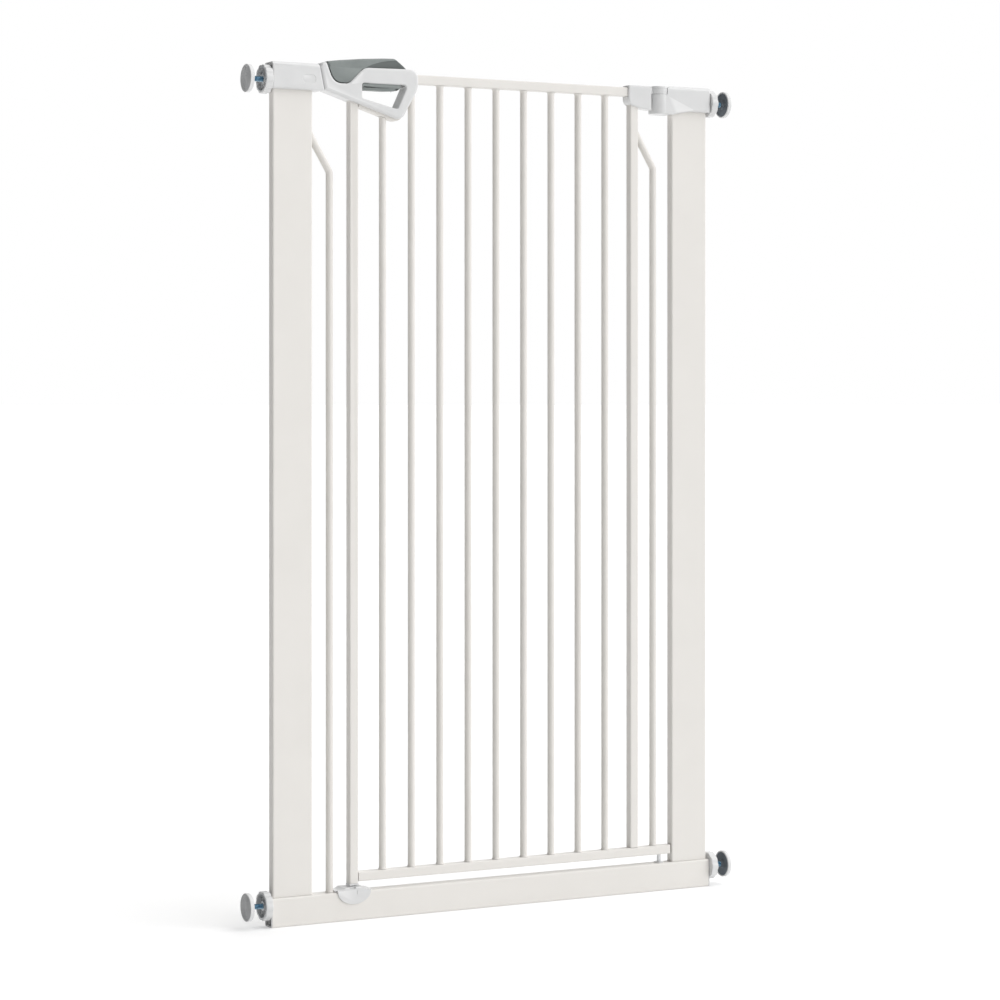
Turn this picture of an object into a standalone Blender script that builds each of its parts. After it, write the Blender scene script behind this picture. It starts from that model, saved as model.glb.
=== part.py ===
"""Extra-tall pressure-mounted safety gate: a steel frame held between two walls by four
screw pads, and a hinged door with a double-lock handle.

Metres, +Z up.  X runs along the gate from the latch side (-X) to the hinge side (+X), Y through
it with the front at -Y.  The origin is on the floor, in the middle of the bottom rail's underside.
"""

import math

import bmesh
import bpy
from mathutils import Matrix, Vector

# ---------------------------------------------------------------- clearances
GAP = 0.0003              # between pieces that touch on the real gate
RUN = 0.0003              # radial running clearance of pins, bolts and spindles
SHELL_GAP = 0.0003        # between two half shells at the middle plane

# ---------------------------------------------------------------- steel frame
FRAME_WIDTH = 0.7363      # over the outer faces of the two posts
TUBE_WALL = 0.0012
TUBE_CORNER = 0.0015
POST_WIDTH = 0.0630
POST_DEPTH = 0.0150
POST_TOP = 1.2410
RAIL_HEIGHT = 0.0422
RAIL_DEPTH = 0.0235
RAIL_OVERHANG = 0.0020    # bottom rail past each post, without its plug
PLUG_FLANGE = 0.0015
PLUG_LENGTH = 0.0150

# ---------------------------------------------------------------- door
STILE = 0.0140            # square tube of the stiles and the two door rails
DOOR_TOP = POST_TOP + 0.0010             # top of the upper door rail
DOOR_UNDER = 0.0553       # underside of the lower door rail
STILE_UNDER = 0.0530      # lower end of the latch stile
BAR_COUNT = 9
BAR_DIAMETER = 0.0105
BAR_WALL = 0.0009
BAR_SIDES = 12
LATCH_SPACE = 0.0599      # clear width between the latch post and its stile
HINGE_INSET = 0.0192      # hinge axis to the hinge post's inner face
HINGE_ARM = 0.0477        # hinge axis to the centre of the hinge stile
RAIL_REACH = 0.0169       # lower door rail past the hinge axis
BEND_ANGLE = math.radians(30.5)
FIXED_KNEE = POST_TOP - 0.1480           # height of the bend of the frame's side bar
DOOR_KNEE = POST_TOP - 0.1220            # height of the bend of the door's side bar
KNEE_RADIUS = 0.0120
STRAP_THICK = 0.0060      # flat strap under the handle
STRAP_DROP = 0.0010       # its centre line below the handle's lower edge
STRAP_BEND = 0.0120
STRAP_BACK = 0.0034       # its bend short of the handle's lower tip
STRAP_RISE = 0.0360       # from its bend up to the second bar

# ---------------------------------------------------------------- plastic shells
SHELL_WALL = 0.0020
SKIN = 0.0016             # front wall of the handle shells
CASING_HALF = 0.0155      # half depth of both post casings
CASING_TOP = POST_TOP + 0.0080           # latch side
CASING_UNDER = POST_TOP - 0.0312
HINGE_CASING_TOP = POST_TOP + 0.0060
CASING_RISE = 0.0060      # hinge casing's lower edge, from the knuckle up to its outer end
CASING_RAMP = 0.0300      # end of that slope past the post's inner face
CASING_PROUD = 0.0030     # casing past the post's outer face
CASING_CORNER = 0.0050
RIB = 0.0030
LATCH_SLIT = 0.0020       # between the casing's slanted end and the handle
BRACKET_HALF = 0.0100
BRACKET_PROUD = 0.0035    # bracket above the door
BRACKET_RIGHT = 0.0182    # edge of the bracket's plates to the hinge axis
KNUCKLE_RADIUS = 0.0160
KNUCKLE_SPLIT = POST_TOP - 0.0074        # between the frame's knuckle and the door's knuckle
KNUCKLE_UNDER = POST_TOP - 0.0380
KNUCKLE_TOP = POST_TOP + 0.0052
KNUCKLE_SWEEP = 0.0008    # room around the door's knuckle
ARM_HALF = 0.0060         # half thickness of the arm that carries the door's knuckle
HINGE_PIN = 0.0030        # radius of both hinge pins
BUSH_RADIUS = 0.0052
BUSH_FLANGE = 0.0075
BUSH_RIM = 0.0012

# ---------------------------------------------------------------- handle and double lock
CHAMFER = 0.0012
LEAST_RADIUS = 0.0003
SCREW_BOSS = 0.0054
LOCK_TRAVEL = 0.0060      # squeeze trigger and lock rod, upwards
SLIDE_TRAVEL = 0.0090     # thumb slide and latch bolt, away from the latch post
PLATE = 0.0019             # thickness of the trigger cheeks
PLATE_NEAR = STILE / 2 + GAP             # they lie between these distances from the middle plane
PLATE_FAR = PLATE_NEAR + PLATE
SKIRT = 0.0016             # thickness of the thumb slide's skirts
SKIRT_NEAR = PLATE_FAR + GAP
SKIRT_FAR = SKIRT_NEAR + SKIRT
HANDLE_HALF = SKIRT_FAR + GAP + SKIN
CAP_HALF = 0.0109
SLIDE_SIDE = 0.0010       # room at either end of the thumb slide
CAP_CLEAR = 0.0010        # thumb slide above the upper door rail
PIN_HEIGHT = -0.0090      # lock rod's cross pin below the door's top
PIN_RADIUS = 0.0015
BOLT_HEIGHT = -0.0100     # latch bolt's axis below the door's top
BOLT_HALF = 0.0050
BOLT_REACH = 0.0080       # bolt tip past the casing's edge
BOLT_TAIL = 0.0264        # bolt's shoulder to the latch stile
ROD_RADIUS = 0.0025
ROD_LOW = 0.0455          # tip of the lock rod in its keeper
FOOT_LOW = 0.0497
FOOT_PLUG = 0.0150
COLLAR_RADIUS = 0.0045
COLLAR_HEIGHT = 0.0030
COLLAR_AT = 0.0780
GUIDE_LENGTH = 0.0100
SPRING_ROOM = 0.0300
SPRING_WIRE = 0.0004
SPRING_TURNS = 7

# ---------------------------------------------------------------- keeper on the bottom rail
KEEPER_HALF = 0.0270      # half width of its round cheeks
KEEPER_DROP = 0.0200      # and how far they hang down
KEEPER_SKIN = 0.0015
KEEPER_PLATE = 0.0025
KEEPER_LIP = 0.0060       # ramps above the rail
KEEPER_BLOCK = 0.0063
KEEPER_OFFSET = -0.0022   # middle of the keeper to the lock rod

# ---------------------------------------------------------------- screw feet
SPINDLE_LOW = 0.0310
SPINDLE_HIGH = POST_TOP - 0.0175
SPINDLE_RADIUS = 0.0040
SPINDLE_LENGTH = 0.0800
WHEEL_RADIUS = 0.0212
WHEEL_DIP = 0.0013        # depth of the hollows between the wheel's lobes
WHEEL_LOBES = 10
WHEEL_THICK = 0.0110
WHEEL_WALL = 0.0030
WHEEL_WEB = 0.0036
WHEEL_HUB = 0.0075
PAD_SPACE = 0.0181        # handwheel to pad
PAD_RADIUS = 0.02035
PAD_RIM = 0.0022
PAD_DEPTH = 0.0060
PAD_WEB = 0.0018
PAD_BOSS_RADIUS = 0.0065
PAD_BOSS = 0.0030
RUBBER_PROUD = 0.0010

SCREW_RADIUS = 0.0017
SCREW_HEAD = 0.0034
SCREW_LENGTH = 0.0160

# ---------------------------------------------------------------- places that follow
POST_OUT = FRAME_WIDTH / 2
POST_IN = POST_OUT - POST_WIDTH
LATCH_X = -POST_IN + LATCH_SPACE + STILE / 2
HINGE_X = POST_IN - HINGE_INSET
HINGE_STILE_X = HINGE_X - HINGE_ARM
FRAME_END = POST_OUT + RAIL_OVERHANG + PLUG_FLANGE
BAR_SPACE = (HINGE_STILE_X - LATCH_X - STILE - BAR_COUNT * BAR_DIAMETER) / (BAR_COUNT + 1)
BAR_PITCH = BAR_SPACE + BAR_DIAMETER
RAIL_UNDER = DOOR_TOP - STILE            # underside of the upper door rail
LOW_RAIL_TOP = DOOR_UNDER + STILE
PIN_Z = DOOR_TOP + PIN_HEIGHT
BOLT_Z = DOOR_TOP + BOLT_HEIGHT
HALF_GAP = SHELL_GAP / 2


def bar_x(number):
    """Centre of an upright bar, counted from 1 at the latch side."""
    return LATCH_X + STILE / 2 + BAR_SPACE + BAR_DIAMETER / 2 + (number - 1) * BAR_PITCH


# ================================================================ modelling helpers
def clear_scene():
    for obj in list(bpy.data.objects):
        bpy.data.objects.remove(obj, do_unlink=True)


def make_material(name, colour, roughness, metallic=0.0):
    mat = bpy.data.materials.new(name)
    mat.use_nodes = True
    shader = mat.node_tree.nodes["Principled BSDF"]
    shader.inputs["Base Color"].default_value = (*colour, 1.0)
    shader.inputs["Roughness"].default_value = roughness
    shader.inputs["Metallic"].default_value = metallic
    return mat


def make_object(name, bm, mat=None):
    """A mesh object from a bmesh, its faces turned outwards and its round parts smooth."""
    bmesh.ops.recalc_face_normals(bm, faces=bm.faces)
    mesh = bpy.data.meshes.new(name)
    bm.to_mesh(mesh)
    bm.free()
    mesh.shade_smooth()
    mesh.set_sharp_from_angle(angle=math.radians(35))
    obj = bpy.data.objects.new(name, mesh)
    bpy.context.scene.collection.objects.link(obj)
    if mat:
        mesh.materials.append(mat)
    return obj


def helper(name, bm):
    """A shape that only cuts or adds to another object."""
    obj = make_object(name, bm)
    obj.hide_render = True
    obj.display_type = "WIRE"
    return obj


def combine(obj, operation, shapes, solver):
    for number, bm in enumerate(shapes):
        modifier = obj.modifiers.new(f"{operation.lower()}_{number}", "BOOLEAN")
        modifier.operation = operation
        modifier.solver = solver
        modifier.object = helper(f"{obj.name}_{operation.lower()}_{number}", bm)


def cut(obj, *shapes, solver="EXACT"):
    combine(obj, "DIFFERENCE", shapes, solver)


def fuse(obj, *shapes, solver="EXACT"):
    combine(obj, "UNION", shapes, solver)


def hang(obj, joint):
    """Move an object's origin to its joint's axis; its helpers stay where they are."""
    obj.data.transform(Matrix.Translation(-joint.matrix_basis.translation))
    obj.parent = joint


def empty(name, place, parent=None):
    obj = bpy.data.objects.new(name, None)
    bpy.context.scene.collection.objects.link(obj)
    obj.empty_display_size = 0.02
    obj.parent = parent
    obj.location = Vector(place) - (parent.location if parent else Vector())
    return obj


def block(low, high):
    bm = bmesh.new()
    size = [b - a for a, b in zip(low, high)]
    middle = [(a + b) / 2 for a, b in zip(low, high)]
    bmesh.ops.create_cube(bm, size=1.0, matrix=Matrix.Translation(middle) @ Matrix.Diagonal((*size, 1.0)))
    return bm


def rod(radius, start, end, sides=20):
    """A solid round rod between two points."""
    start = Vector(start)
    end = Vector(end)
    turn = (end - start).to_track_quat("Z", "Y").to_matrix().to_4x4()
    bm = bmesh.new()
    bmesh.ops.create_cone(bm, cap_ends=True, segments=sides, radius1=radius, radius2=radius,
                          depth=(end - start).length,
                          matrix=Matrix.Translation((start + end) / 2) @ turn)
    return bm


def turned(profile, origin, direction, sides=24):
    """A turned shape: (distance along the axis, radius) pairs, closed back along the axis or bore."""
    turn = Vector(direction).to_track_quat("Z", "Y").to_matrix().to_4x4()
    place = Matrix.Translation(origin) @ turn
    bm = bmesh.new()
    rings = []
    for along, radius in profile:
        if radius < 1e-6:
            rings.append([bm.verts.new(place @ Vector((0, 0, along)))])
            continue
        rings.append([bm.verts.new(place @ Vector((radius * math.cos(2 * math.pi * i / sides),
                                                   radius * math.sin(2 * math.pi * i / sides),
                                                   along))) for i in range(sides)])
    for first, second in zip(rings, rings[1:] + rings[:1]):
        if len(first) == 1 and len(second) == 1:
            continue
        for i in range(sides):
            j = (i + 1) % sides
            corners = [first[i % len(first)], first[j % len(first)],
                       second[j % len(second)], second[i % len(second)]]
            bm.faces.new(list(dict.fromkeys(corners)))
    return bm


def fillet(corners, closed=True, steps=4):
    """Points of an outline whose corners (x, z, radius) are rounded by arcs."""
    points = []
    count = len(corners)
    for i, (x, z, radius) in enumerate(corners):
        here = Vector((x, z))
        if not closed and i in (0, count - 1) or radius <= 0:
            points.append(here)
            continue
        back = (Vector(corners[i - 1][:2]) - here).normalized()
        ahead = (Vector(corners[(i + 1) % count][:2]) - here).normalized()
        half = back.angle(ahead) / 2
        centre = here + (back + ahead).normalized() * (radius / math.sin(half))
        start = here + back * (radius / math.tan(half)) - centre
        end = here + ahead * (radius / math.tan(half)) - centre
        sweep = start.angle_signed(end)
        for step in range(steps + 1):
            angle = -sweep * step / steps
            points.append(centre + Vector((start.x * math.cos(angle) - start.y * math.sin(angle),
                                           start.x * math.sin(angle) + start.y * math.cos(angle))))
    return points


def anticlockwise(corners):
    turns = zip(corners, corners[1:] + corners[:1])
    area = sum(a[0] * b[1] - b[0] * a[1] for a, b in turns)
    return list(corners) if area > 0 else list(corners)[::-1]


def inset(corners, distance):
    """Corners of an outline moved inwards by a distance; arcs keep their centres."""
    corners = anticlockwise(corners)
    moved = []
    for i, (x, z, radius) in enumerate(corners):
        here = Vector((x, z))
        before = (here - Vector(corners[i - 1][:2])).normalized()
        after = (Vector(corners[(i + 1) % len(corners)][:2]) - here).normalized()
        inward = Vector((-before.y - after.y, before.x + after.x))
        place = here + inward * (distance / (1 + before.dot(after)))
        bulge = 1 if before.cross(after) > 0 else -1
        if radius > 0:
            radius = max(radius - bulge * distance, LEAST_RADIUS)
        moved.append((place.x, place.y, radius))
    return moved


def loft(rings):
    """A closed solid through rings of equally many points."""
    bm = bmesh.new()
    loops = [[bm.verts.new(p) for p in ring] for ring in rings]
    count = len(loops[0])
    for first, second in zip(loops, loops[1:]):
        for i in range(count):
            j = (i + 1) % count
            bm.faces.new((first[i], first[j], second[j], second[i]))
    bm.faces.new(loops[0])
    bm.faces.new(loops[-1])
    return bm


def prism(corners, near, far, chamfer=0.0, steps=4):
    """An XZ outline of rounded corners carried along Y, its near face's edge chamfered."""
    corners = anticlockwise(corners)
    side = math.copysign(1.0, far - near)
    full = fillet(corners, steps=steps)
    rings = [[(p.x, near, p.y) for p in full]]
    if chamfer:
        face = fillet(inset(corners, chamfer), steps=steps)
        rings = [[(p.x, near, p.y) for p in face],
                 [(p.x, near + side * chamfer, p.y) for p in full]]
    rings.append([(p.x, far, p.y) for p in full])
    return loft(rings)


def round_section(radius, sides=BAR_SIDES):
    return [(radius * math.cos(2 * math.pi * i / sides), radius * math.sin(2 * math.pi * i / sides))
            for i in range(sides)]


def box_section(width, depth, corner, steps=2):
    """Rounded rectangle: width in the bar's plane, depth along Y."""
    w = width / 2
    d = depth / 2
    corners = [(w, d, corner), (-w, d, corner), (-w, -d, corner), (w, -d, corner)]
    return [(p.x, p.y) for p in fillet(corners, steps=steps)]


def sweep_rings(path, section):
    """Rings of a section along a path in the XZ plane, mitred at its bends."""
    rings = []
    for i, here in enumerate(path):
        before = (here - path[i - 1]).normalized() if i else (path[1] - here).normalized()
        after = (path[i + 1] - here).normalized() if i + 1 < len(path) else before
        along = (before + after).normalized()
        stretch = 1 / along.dot(before)
        normal = Vector((along.y, -along.x)) * stretch
        rings.append([Vector((here.x + normal.x * u, v, here.y + normal.y * u)) for u, v in section])
    return rings


def tube(path, outer, inner):
    """A tube with open ends along a path in the XZ plane."""
    path = [Vector(p) for p in path]
    bm = bmesh.new()
    skins = []
    for section in (outer, inner):
        skins.append([[bm.verts.new(p) for p in ring] for ring in sweep_rings(path, section)])
    count = len(outer)
    for rings in skins:
        for first, second in zip(rings, rings[1:]):
            for i in range(count):
                j = (i + 1) % count
                bm.faces.new((first[i], first[j], second[j], second[i]))
    for end in (0, -1):
        for i in range(count):
            j = (i + 1) % count
            bm.faces.new((skins[0][end][i], skins[0][end][j], skins[1][end][j], skins[1][end][i]))
    return bm


def square_tube(path, width=STILE, depth=STILE, corner=TUBE_CORNER, wall=TUBE_WALL):
    inner = max(corner - wall, 0.0002)
    return tube(path, box_section(width, depth, corner),
                box_section(width - 2 * wall, depth - 2 * wall, inner))


def bar_tube(path):
    radius = BAR_DIAMETER / 2
    return tube(path, round_section(radius), round_section(radius - BAR_WALL))


def spring(name, start, end, radius, mat):
    """A coil spring between two points, as one swept wire."""
    start = Vector(start)
    end = Vector(end)
    turn = (end - start).to_track_quat("Z", "Y").to_matrix()
    length = (end - start).length - 2 * SPRING_WIRE
    curve = bpy.data.curves.new(name, "CURVE")
    curve.dimensions = "3D"
    curve.bevel_depth = SPRING_WIRE
    curve.bevel_resolution = 1
    curve.use_fill_caps = True
    count = SPRING_TURNS * 10
    line = curve.splines.new("POLY")
    line.points.add(count)
    for i in range(count + 1):
        angle = 2 * math.pi * SPRING_TURNS * i / count
        local = Vector((radius * math.cos(angle), radius * math.sin(angle),
                        SPRING_WIRE + length * i / count))
        line.points[i].co = (*(start + turn @ local), 1.0)
    curve.materials.append(mat)
    obj = bpy.data.objects.new(name, curve)
    bpy.context.scene.collection.objects.link(obj)
    return obj


# ================================================================ outlines of the handle
def from_latch(corners):
    """Corners given from the latch stile's centre and the door's top."""
    return [(LATCH_X + x, DOOR_TOP + z, r) for x, z, r in corners]


HANDLE_CORNERS = [
    (-0.0573, 0.0101, 0.0066),   # upper corner of the front lobe
    (-0.0458, 0.0101, 0.0035),   # the lobe's inner top, where the thumb slide's cut-out begins
    (-0.0343, -0.0192, 0.0180),
    (-0.0114, -0.0192, 0.0130),
    (0.0136, 0.0058, 0.0220),    # end of the cut-out
    (0.1026, 0.0075, 0.0140),
    (0.1024, -0.0214, 0.0300),
    (0.0748, -0.0698, 0.0135),   # lower tip
    (-0.0490, -0.0305, 0.0030),
]
WINDOW_CORNERS = [
    (0.0110, -0.0172, 0.0030),
    (0.0845, -0.0172, 0.0040),
    (0.0679, -0.0529, 0.0040),
    (0.0110, -0.0395, 0.0035),
]
CAP_TOP_CORNERS = [
    (-0.0412, 0.0010, 0.0),
    (-0.0447, 0.0118, 0.0010),
    (-0.0240, 0.0146, 0.0200),
    (0.0134, 0.0184, 0.0500),
    (0.0480, 0.0208, 0.0500),
    (0.0650, 0.0212, 0.0100),
    (0.0850, 0.0062, 0.0030),
    (0.0850, 0.0010, 0.0),
]
SKIRT_CORNERS = [
    (-0.0418, 0.0040, 0.0),
    (-0.0334, -0.0182, 0.0168),
    (-0.0095, -0.0182, 0.0120),
    (0.0127, 0.0040, 0.0),
]
TRIGGER_CORNERS = [
    (0.0115, -0.0205, 0.0010),
    (0.0138, -0.0268, 0.0060),
    (0.0500, -0.0268, 0.0500),
    (0.0712, -0.0252, 0.0050),
    (0.0750, -0.0205, 0.0015),
]
BRACKET_CORNERS = [                     # from the hinge axis and the door's top
    (-0.0597, BRACKET_PROUD, 0.0025),
    (-0.0597, -0.0262, 0.0110),
    (-0.0420, -0.0306, 0.0200),
    (-BRACKET_RIGHT, -0.0336, 0.0010),
    (-BRACKET_RIGHT, BRACKET_PROUD, 0.0010),
]


def handle_left(z):
    """X of the handle's straight latch-side edge at a height."""
    top = from_latch(HANDLE_CORNERS)[0]
    low = from_latch(HANDLE_CORNERS)[-1]
    share = (z - low[1]) / (top[1] - low[1])
    return low[0] + (top[0] - low[0]) * share


# ================================================================ frame
def post_path():
    return [(0, RAIL_HEIGHT + GAP), (0, POST_TOP)]


def make_posts(paint):
    for name, side in (("left_post", -1), ("right_post", 1)):
        obj = make_object(name, square_tube(post_path(), POST_WIDTH, POST_DEPTH), paint)
        middle = side * (POST_OUT - POST_WIDTH / 2)
        obj.location.x = middle
        screw_x, screw_z = screw_place(f"casing_screw_{name[:-5]}")
        cut(obj, rod(SPINDLE_RADIUS + RUN, (side * (POST_OUT + 0.005), 0, SPINDLE_HIGH),
                     (side * (POST_OUT - 0.005), 0, SPINDLE_HIGH)),
            rod(SCREW_RADIUS + RUN, (screw_x, 0, screw_z), (screw_x, POST_DEPTH, screw_z), 12))


def make_bottom_rail(paint, plastic):
    reach = POST_OUT + RAIL_OVERHANG
    path = [(-reach, RAIL_HEIGHT / 2), (reach, RAIL_HEIGHT / 2)]
    obj = make_object("bottom_rail", square_tube(path, RAIL_HEIGHT, RAIL_DEPTH), paint)
    cut(obj, rod(BUSH_RADIUS + GAP, (HINGE_X, 0, RAIL_HEIGHT / 2), (HINGE_X, 0, RAIL_HEIGHT + 0.005)))
    for name, side in (("rail_end_plug_left", -1), ("rail_end_plug_right", 1)):
        plug = rail_end_plug(name, side, reach, plastic)
        cut(plug, rod(SPINDLE_RADIUS + RUN, (side * (FRAME_END + 0.005), 0, SPINDLE_LOW),
                      (side * (reach - PLUG_LENGTH - 0.005), 0, SPINDLE_LOW)))


def rail_end_plug(name, side, reach, plastic):
    """Flange the size of the rail, and a core that fills the tube's end."""
    core_y = RAIL_DEPTH / 2 - TUBE_WALL - GAP
    core_low = TUBE_WALL + GAP
    core_high = RAIL_HEIGHT - TUBE_WALL - GAP
    flange = sorted((side * (reach + GAP), side * FRAME_END))
    core = sorted((side * (reach - PLUG_LENGTH), side * (reach + PLUG_FLANGE / 2)))
    obj = make_object(name, block((flange[0], -RAIL_DEPTH / 2, 0), (flange[1], RAIL_DEPTH / 2, RAIL_HEIGHT)),
                      plastic)
    fuse(obj, block((core[0], -core_y, core_low), (core[1], core_y, core_high)))
    return obj


def bent_path(foot_x, foot_z, knee, end_x):
    """Upright from foot_z, bent towards -X at the knee, up to end_x."""
    run = foot_x - end_x
    corners = [(foot_x, foot_z, 0.0), (foot_x, knee, KNEE_RADIUS),
               (end_x, knee + run / math.tan(BEND_ANGLE), 0.0)]
    return fillet(corners, closed=False, steps=4)


def weld_trim(face_x):
    """Everything on the -X side of a bar's weld face."""
    return block((face_x - 0.05, -0.02, POST_TOP - 0.25), (face_x + GAP, 0.02, POST_TOP))


def make_bent_bar(name, centre_x, foot_z, knee, face_x, paint):
    """Side bar whose slanted end is trimmed flush to the upright face it is welded to."""
    past = BAR_DIAMETER / math.cos(BEND_ANGLE)
    obj = make_object(name, bar_tube(bent_path(centre_x, foot_z, knee, face_x - past / 2)), paint)
    cut(obj, weld_trim(face_x))
    return obj


def casing_outline(side):
    """Post casing seen from the front; side -1 ends at the latch slit, +1 at the hinge knuckle."""
    outer = side * (POST_OUT + CASING_PROUD)
    if side < 0:
        return [
            (outer, CASING_TOP, 0.0015),
            (outer, CASING_UNDER, 0.0030),
            (handle_left(CASING_UNDER) - LATCH_SLIT, CASING_UNDER, 0.0030),
            (handle_left(CASING_TOP) - LATCH_SLIT, CASING_TOP, 0.0060),
        ]
    high = KNUCKLE_UNDER + CASING_RISE
    return [
        (outer, HINGE_CASING_TOP, CASING_CORNER),
        (outer, high, 0.0030),
        (POST_IN + CASING_RAMP, high, 0.0600),
        (POST_IN - SHELL_WALL, KNUCKLE_UNDER, 0.0300),
        (HINGE_X, KNUCKLE_UNDER, 0.0),
        (HINGE_X, HINGE_CASING_TOP, 0.0),
    ]


def post_room(side):
    """The space a casing leaves for its post."""
    near = side * (POST_IN - GAP)
    far = side * (POST_OUT + GAP)
    half = POST_DEPTH / 2 + GAP
    return block((min(near, far), -half, CASING_UNDER - 0.02), (max(near, far), half, POST_TOP + GAP))


def rib_blocks(side, face):
    """Two ribs from a casing's skin to the post's face; face -1 is the front."""
    blocks = []
    for share in (0.2, 0.55):
        x = side * (POST_IN + POST_WIDTH * share)
        y = sorted((face * (POST_DEPTH / 2 + GAP), face * (CASING_HALF - SHELL_WALL / 2)))
        low = CASING_UNDER + RIB * 2
        high = min(CASING_TOP, HINGE_CASING_TOP) - SHELL_WALL / 2
        blocks.append(block((x, y[0], low), (x + RIB, y[1], high)))
    return blocks


def spindle_hole(side):
    return rod(SPINDLE_RADIUS + RUN, (side * (POST_OUT + 0.02), 0, SPINDLE_HIGH),
               (side * (POST_OUT - 0.005), 0, SPINDLE_HIGH))


def screw_place(name):
    """(x, z) of each screw; all are driven from the back."""
    places = {
        "casing_screw_left": (-POST_IN - POST_WIDTH * 0.45, CASING_UNDER + 0.0056),
        "casing_screw_right": (POST_IN + POST_WIDTH * 0.50, CASING_UNDER + 0.0050),
        "handle_screw": (LATCH_X - 0.0237, DOOR_TOP - 0.0290),
    }
    return places[name]


def screw_hole(name, half):
    """Clearance for the shank and the countersunk recess for the head."""
    x, z = screw_place(name)
    return [rod(SCREW_RADIUS + RUN, (x, 0.0, z), (x, half + 0.002, z), 12),
            rod(SCREW_HEAD + RUN, (x, half - 0.0022, z), (x, half + 0.002, z), 16)]


def make_screw(name, half, steel):
    """Pan head with a cross recess, shank towards the front."""
    x, z = screw_place(name)
    head = half - 0.0022 + GAP
    profile = [(0, 0), (0, SCREW_HEAD), (0.0012, SCREW_HEAD), (0.0019, SCREW_HEAD * 0.6), (0.0019, 0)]
    obj = make_object(name, turned(profile, (x, head, z), (0, 1, 0), 16), steel)
    fuse(obj, rod(SCREW_RADIUS, (x, head - SCREW_LENGTH, z), (x, head + 0.0005, z), 10))
    slot = 0.0004
    arm = SCREW_HEAD * 0.55
    quarter = [(slot, slot), (arm, slot), (arm, -slot)]
    cross = []
    for step in range(4):
        turn = Matrix.Rotation(-math.pi / 2 * step, 2)
        cross += [(x + p.x, z + p.y, 0) for p in (turn @ Vector(q) for q in quarter)]
    cut(obj, prism(cross, head + 0.0008, head + 0.0030))
    return obj


def make_casing(side, face, plastic):
    """One half of a post casing: skin, walls and two ribs, open at the middle plane."""
    name = f"{'left' if side < 0 else 'right'}_casing_{'front' if face < 0 else 'back'}"
    outline = casing_outline(side)
    obj = make_object(name, prism(outline, face * CASING_HALF, face * HALF_GAP, CHAMFER), plastic)
    if side < 0:
        room = prism(inset(outline, SHELL_WALL), face * (CASING_HALF - SHELL_WALL), -face * 0.001)
    else:
        start = POST_IN - GAP
        half = sorted((face * (CASING_HALF - SHELL_WALL), -face * 0.001))
        room = block((start, half[0], KNUCKLE_UNDER + CASING_RISE + SHELL_WALL),
                     (POST_OUT + CASING_PROUD - SHELL_WALL, half[1], HINGE_CASING_TOP - SHELL_WALL))
    cut(obj, room, solver="MANIFOLD")
    fuse(obj, *rib_blocks(side, face), solver="MANIFOLD")
    cut_shapes = [post_room(side), spindle_hole(side)]
    if face > 0:
        screw = f"casing_screw_{'left' if side < 0 else 'right'}"
        fuse(obj, screw_boss(screw, CASING_HALF, SHELL_WALL, POST_DEPTH / 2 + GAP), solver="MANIFOLD")
        cut_shapes += screw_hole(screw, CASING_HALF)
    if side < 0:
        cut_shapes.append(bolt_window())
    cut(obj, *cut_shapes, solver="MANIFOLD")
    return obj


def screw_boss(name, half, skin, start):
    """A round boss from a half shell's skin inwards to start, for a screw."""
    x, z = screw_place(name)
    return rod(SCREW_BOSS, (x, start, z), (x, math.copysign(half - skin / 2, start), z), 16)


def bolt_window():
    """Way of the latch bolt, from inside the casing to the latch stile."""
    half = BOLT_HALF + RUN
    return block((handle_left(BOLT_Z) - LATCH_SLIT - 0.012, -half, BOLT_Z - half),
                 (LATCH_X, half, BOLT_Z + half))


def make_casings(plastic, steel):
    for face in (-1, 1):
        make_casing(-1, face, plastic)
    back = make_casing(1, 1, plastic)
    split = POST_IN - GAP * 4
    beside = block((HINGE_X - 0.01, -0.001, CASING_UNDER - 0.01), (split + GAP, 0.02, CASING_TOP + 0.01))
    cut(back, beside, solver="MANIFOLD")
    front = make_casing(1, -1, plastic)
    fuse(front,
         block((HINGE_X, -CASING_HALF + CHAMFER, KNUCKLE_UNDER), (split, CASING_HALF, HINGE_CASING_TOP)),
         rod(KNUCKLE_RADIUS, (HINGE_X, 0, KNUCKLE_UNDER), (HINGE_X, 0, KNUCKLE_SPLIT + 0.001), 32),
         solver="MANIFOLD")
    cut(front,
        rod(KNUCKLE_RADIUS + KNUCKLE_SWEEP, (HINGE_X, 0, KNUCKLE_SPLIT), (HINGE_X, 0, CASING_TOP + 0.01), 32),
        rod(HINGE_PIN + GAP, (HINGE_X, 0, KNUCKLE_UNDER + 0.003), (HINGE_X, 0, KNUCKLE_SPLIT + 0.01), 16),
        solver="MANIFOLD")
    for name in ("casing_screw_left", "casing_screw_right"):
        make_screw(name, CASING_HALF, steel)


def make_hinge_pins(steel, plastic, door):
    upper = make_object("upper_hinge_pin",
                        rod(HINGE_PIN, (HINGE_X, 0, KNUCKLE_UNDER + 0.003 + GAP),
                            (HINGE_X, 0, KNUCKLE_TOP - 0.0030), 16), steel)
    upper.data.transform(Matrix.Translation((-HINGE_X, 0, 0)))
    upper.location.x = HINGE_X
    depth = RAIL_HEIGHT - 0.0125
    profile = [(depth, BUSH_RADIUS), (RAIL_HEIGHT + GAP, BUSH_RADIUS), (RAIL_HEIGHT + GAP, BUSH_FLANGE),
               (RAIL_HEIGHT + GAP + BUSH_RIM, BUSH_FLANGE), (RAIL_HEIGHT + GAP + BUSH_RIM, HINGE_PIN + RUN),
               (depth, HINGE_PIN + RUN)]
    make_object("lower_hinge_bush", turned(profile, (HINGE_X, 0, 0), (0, 0, 1), 20), plastic)
    lower = make_object("lower_hinge_pin", rod(HINGE_PIN, (HINGE_X, 0, depth - 0.002),
                                               (HINGE_X, 0, LOW_RAIL_TOP - TUBE_WALL - GAP), 16), steel)
    hang(lower, door)


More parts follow.
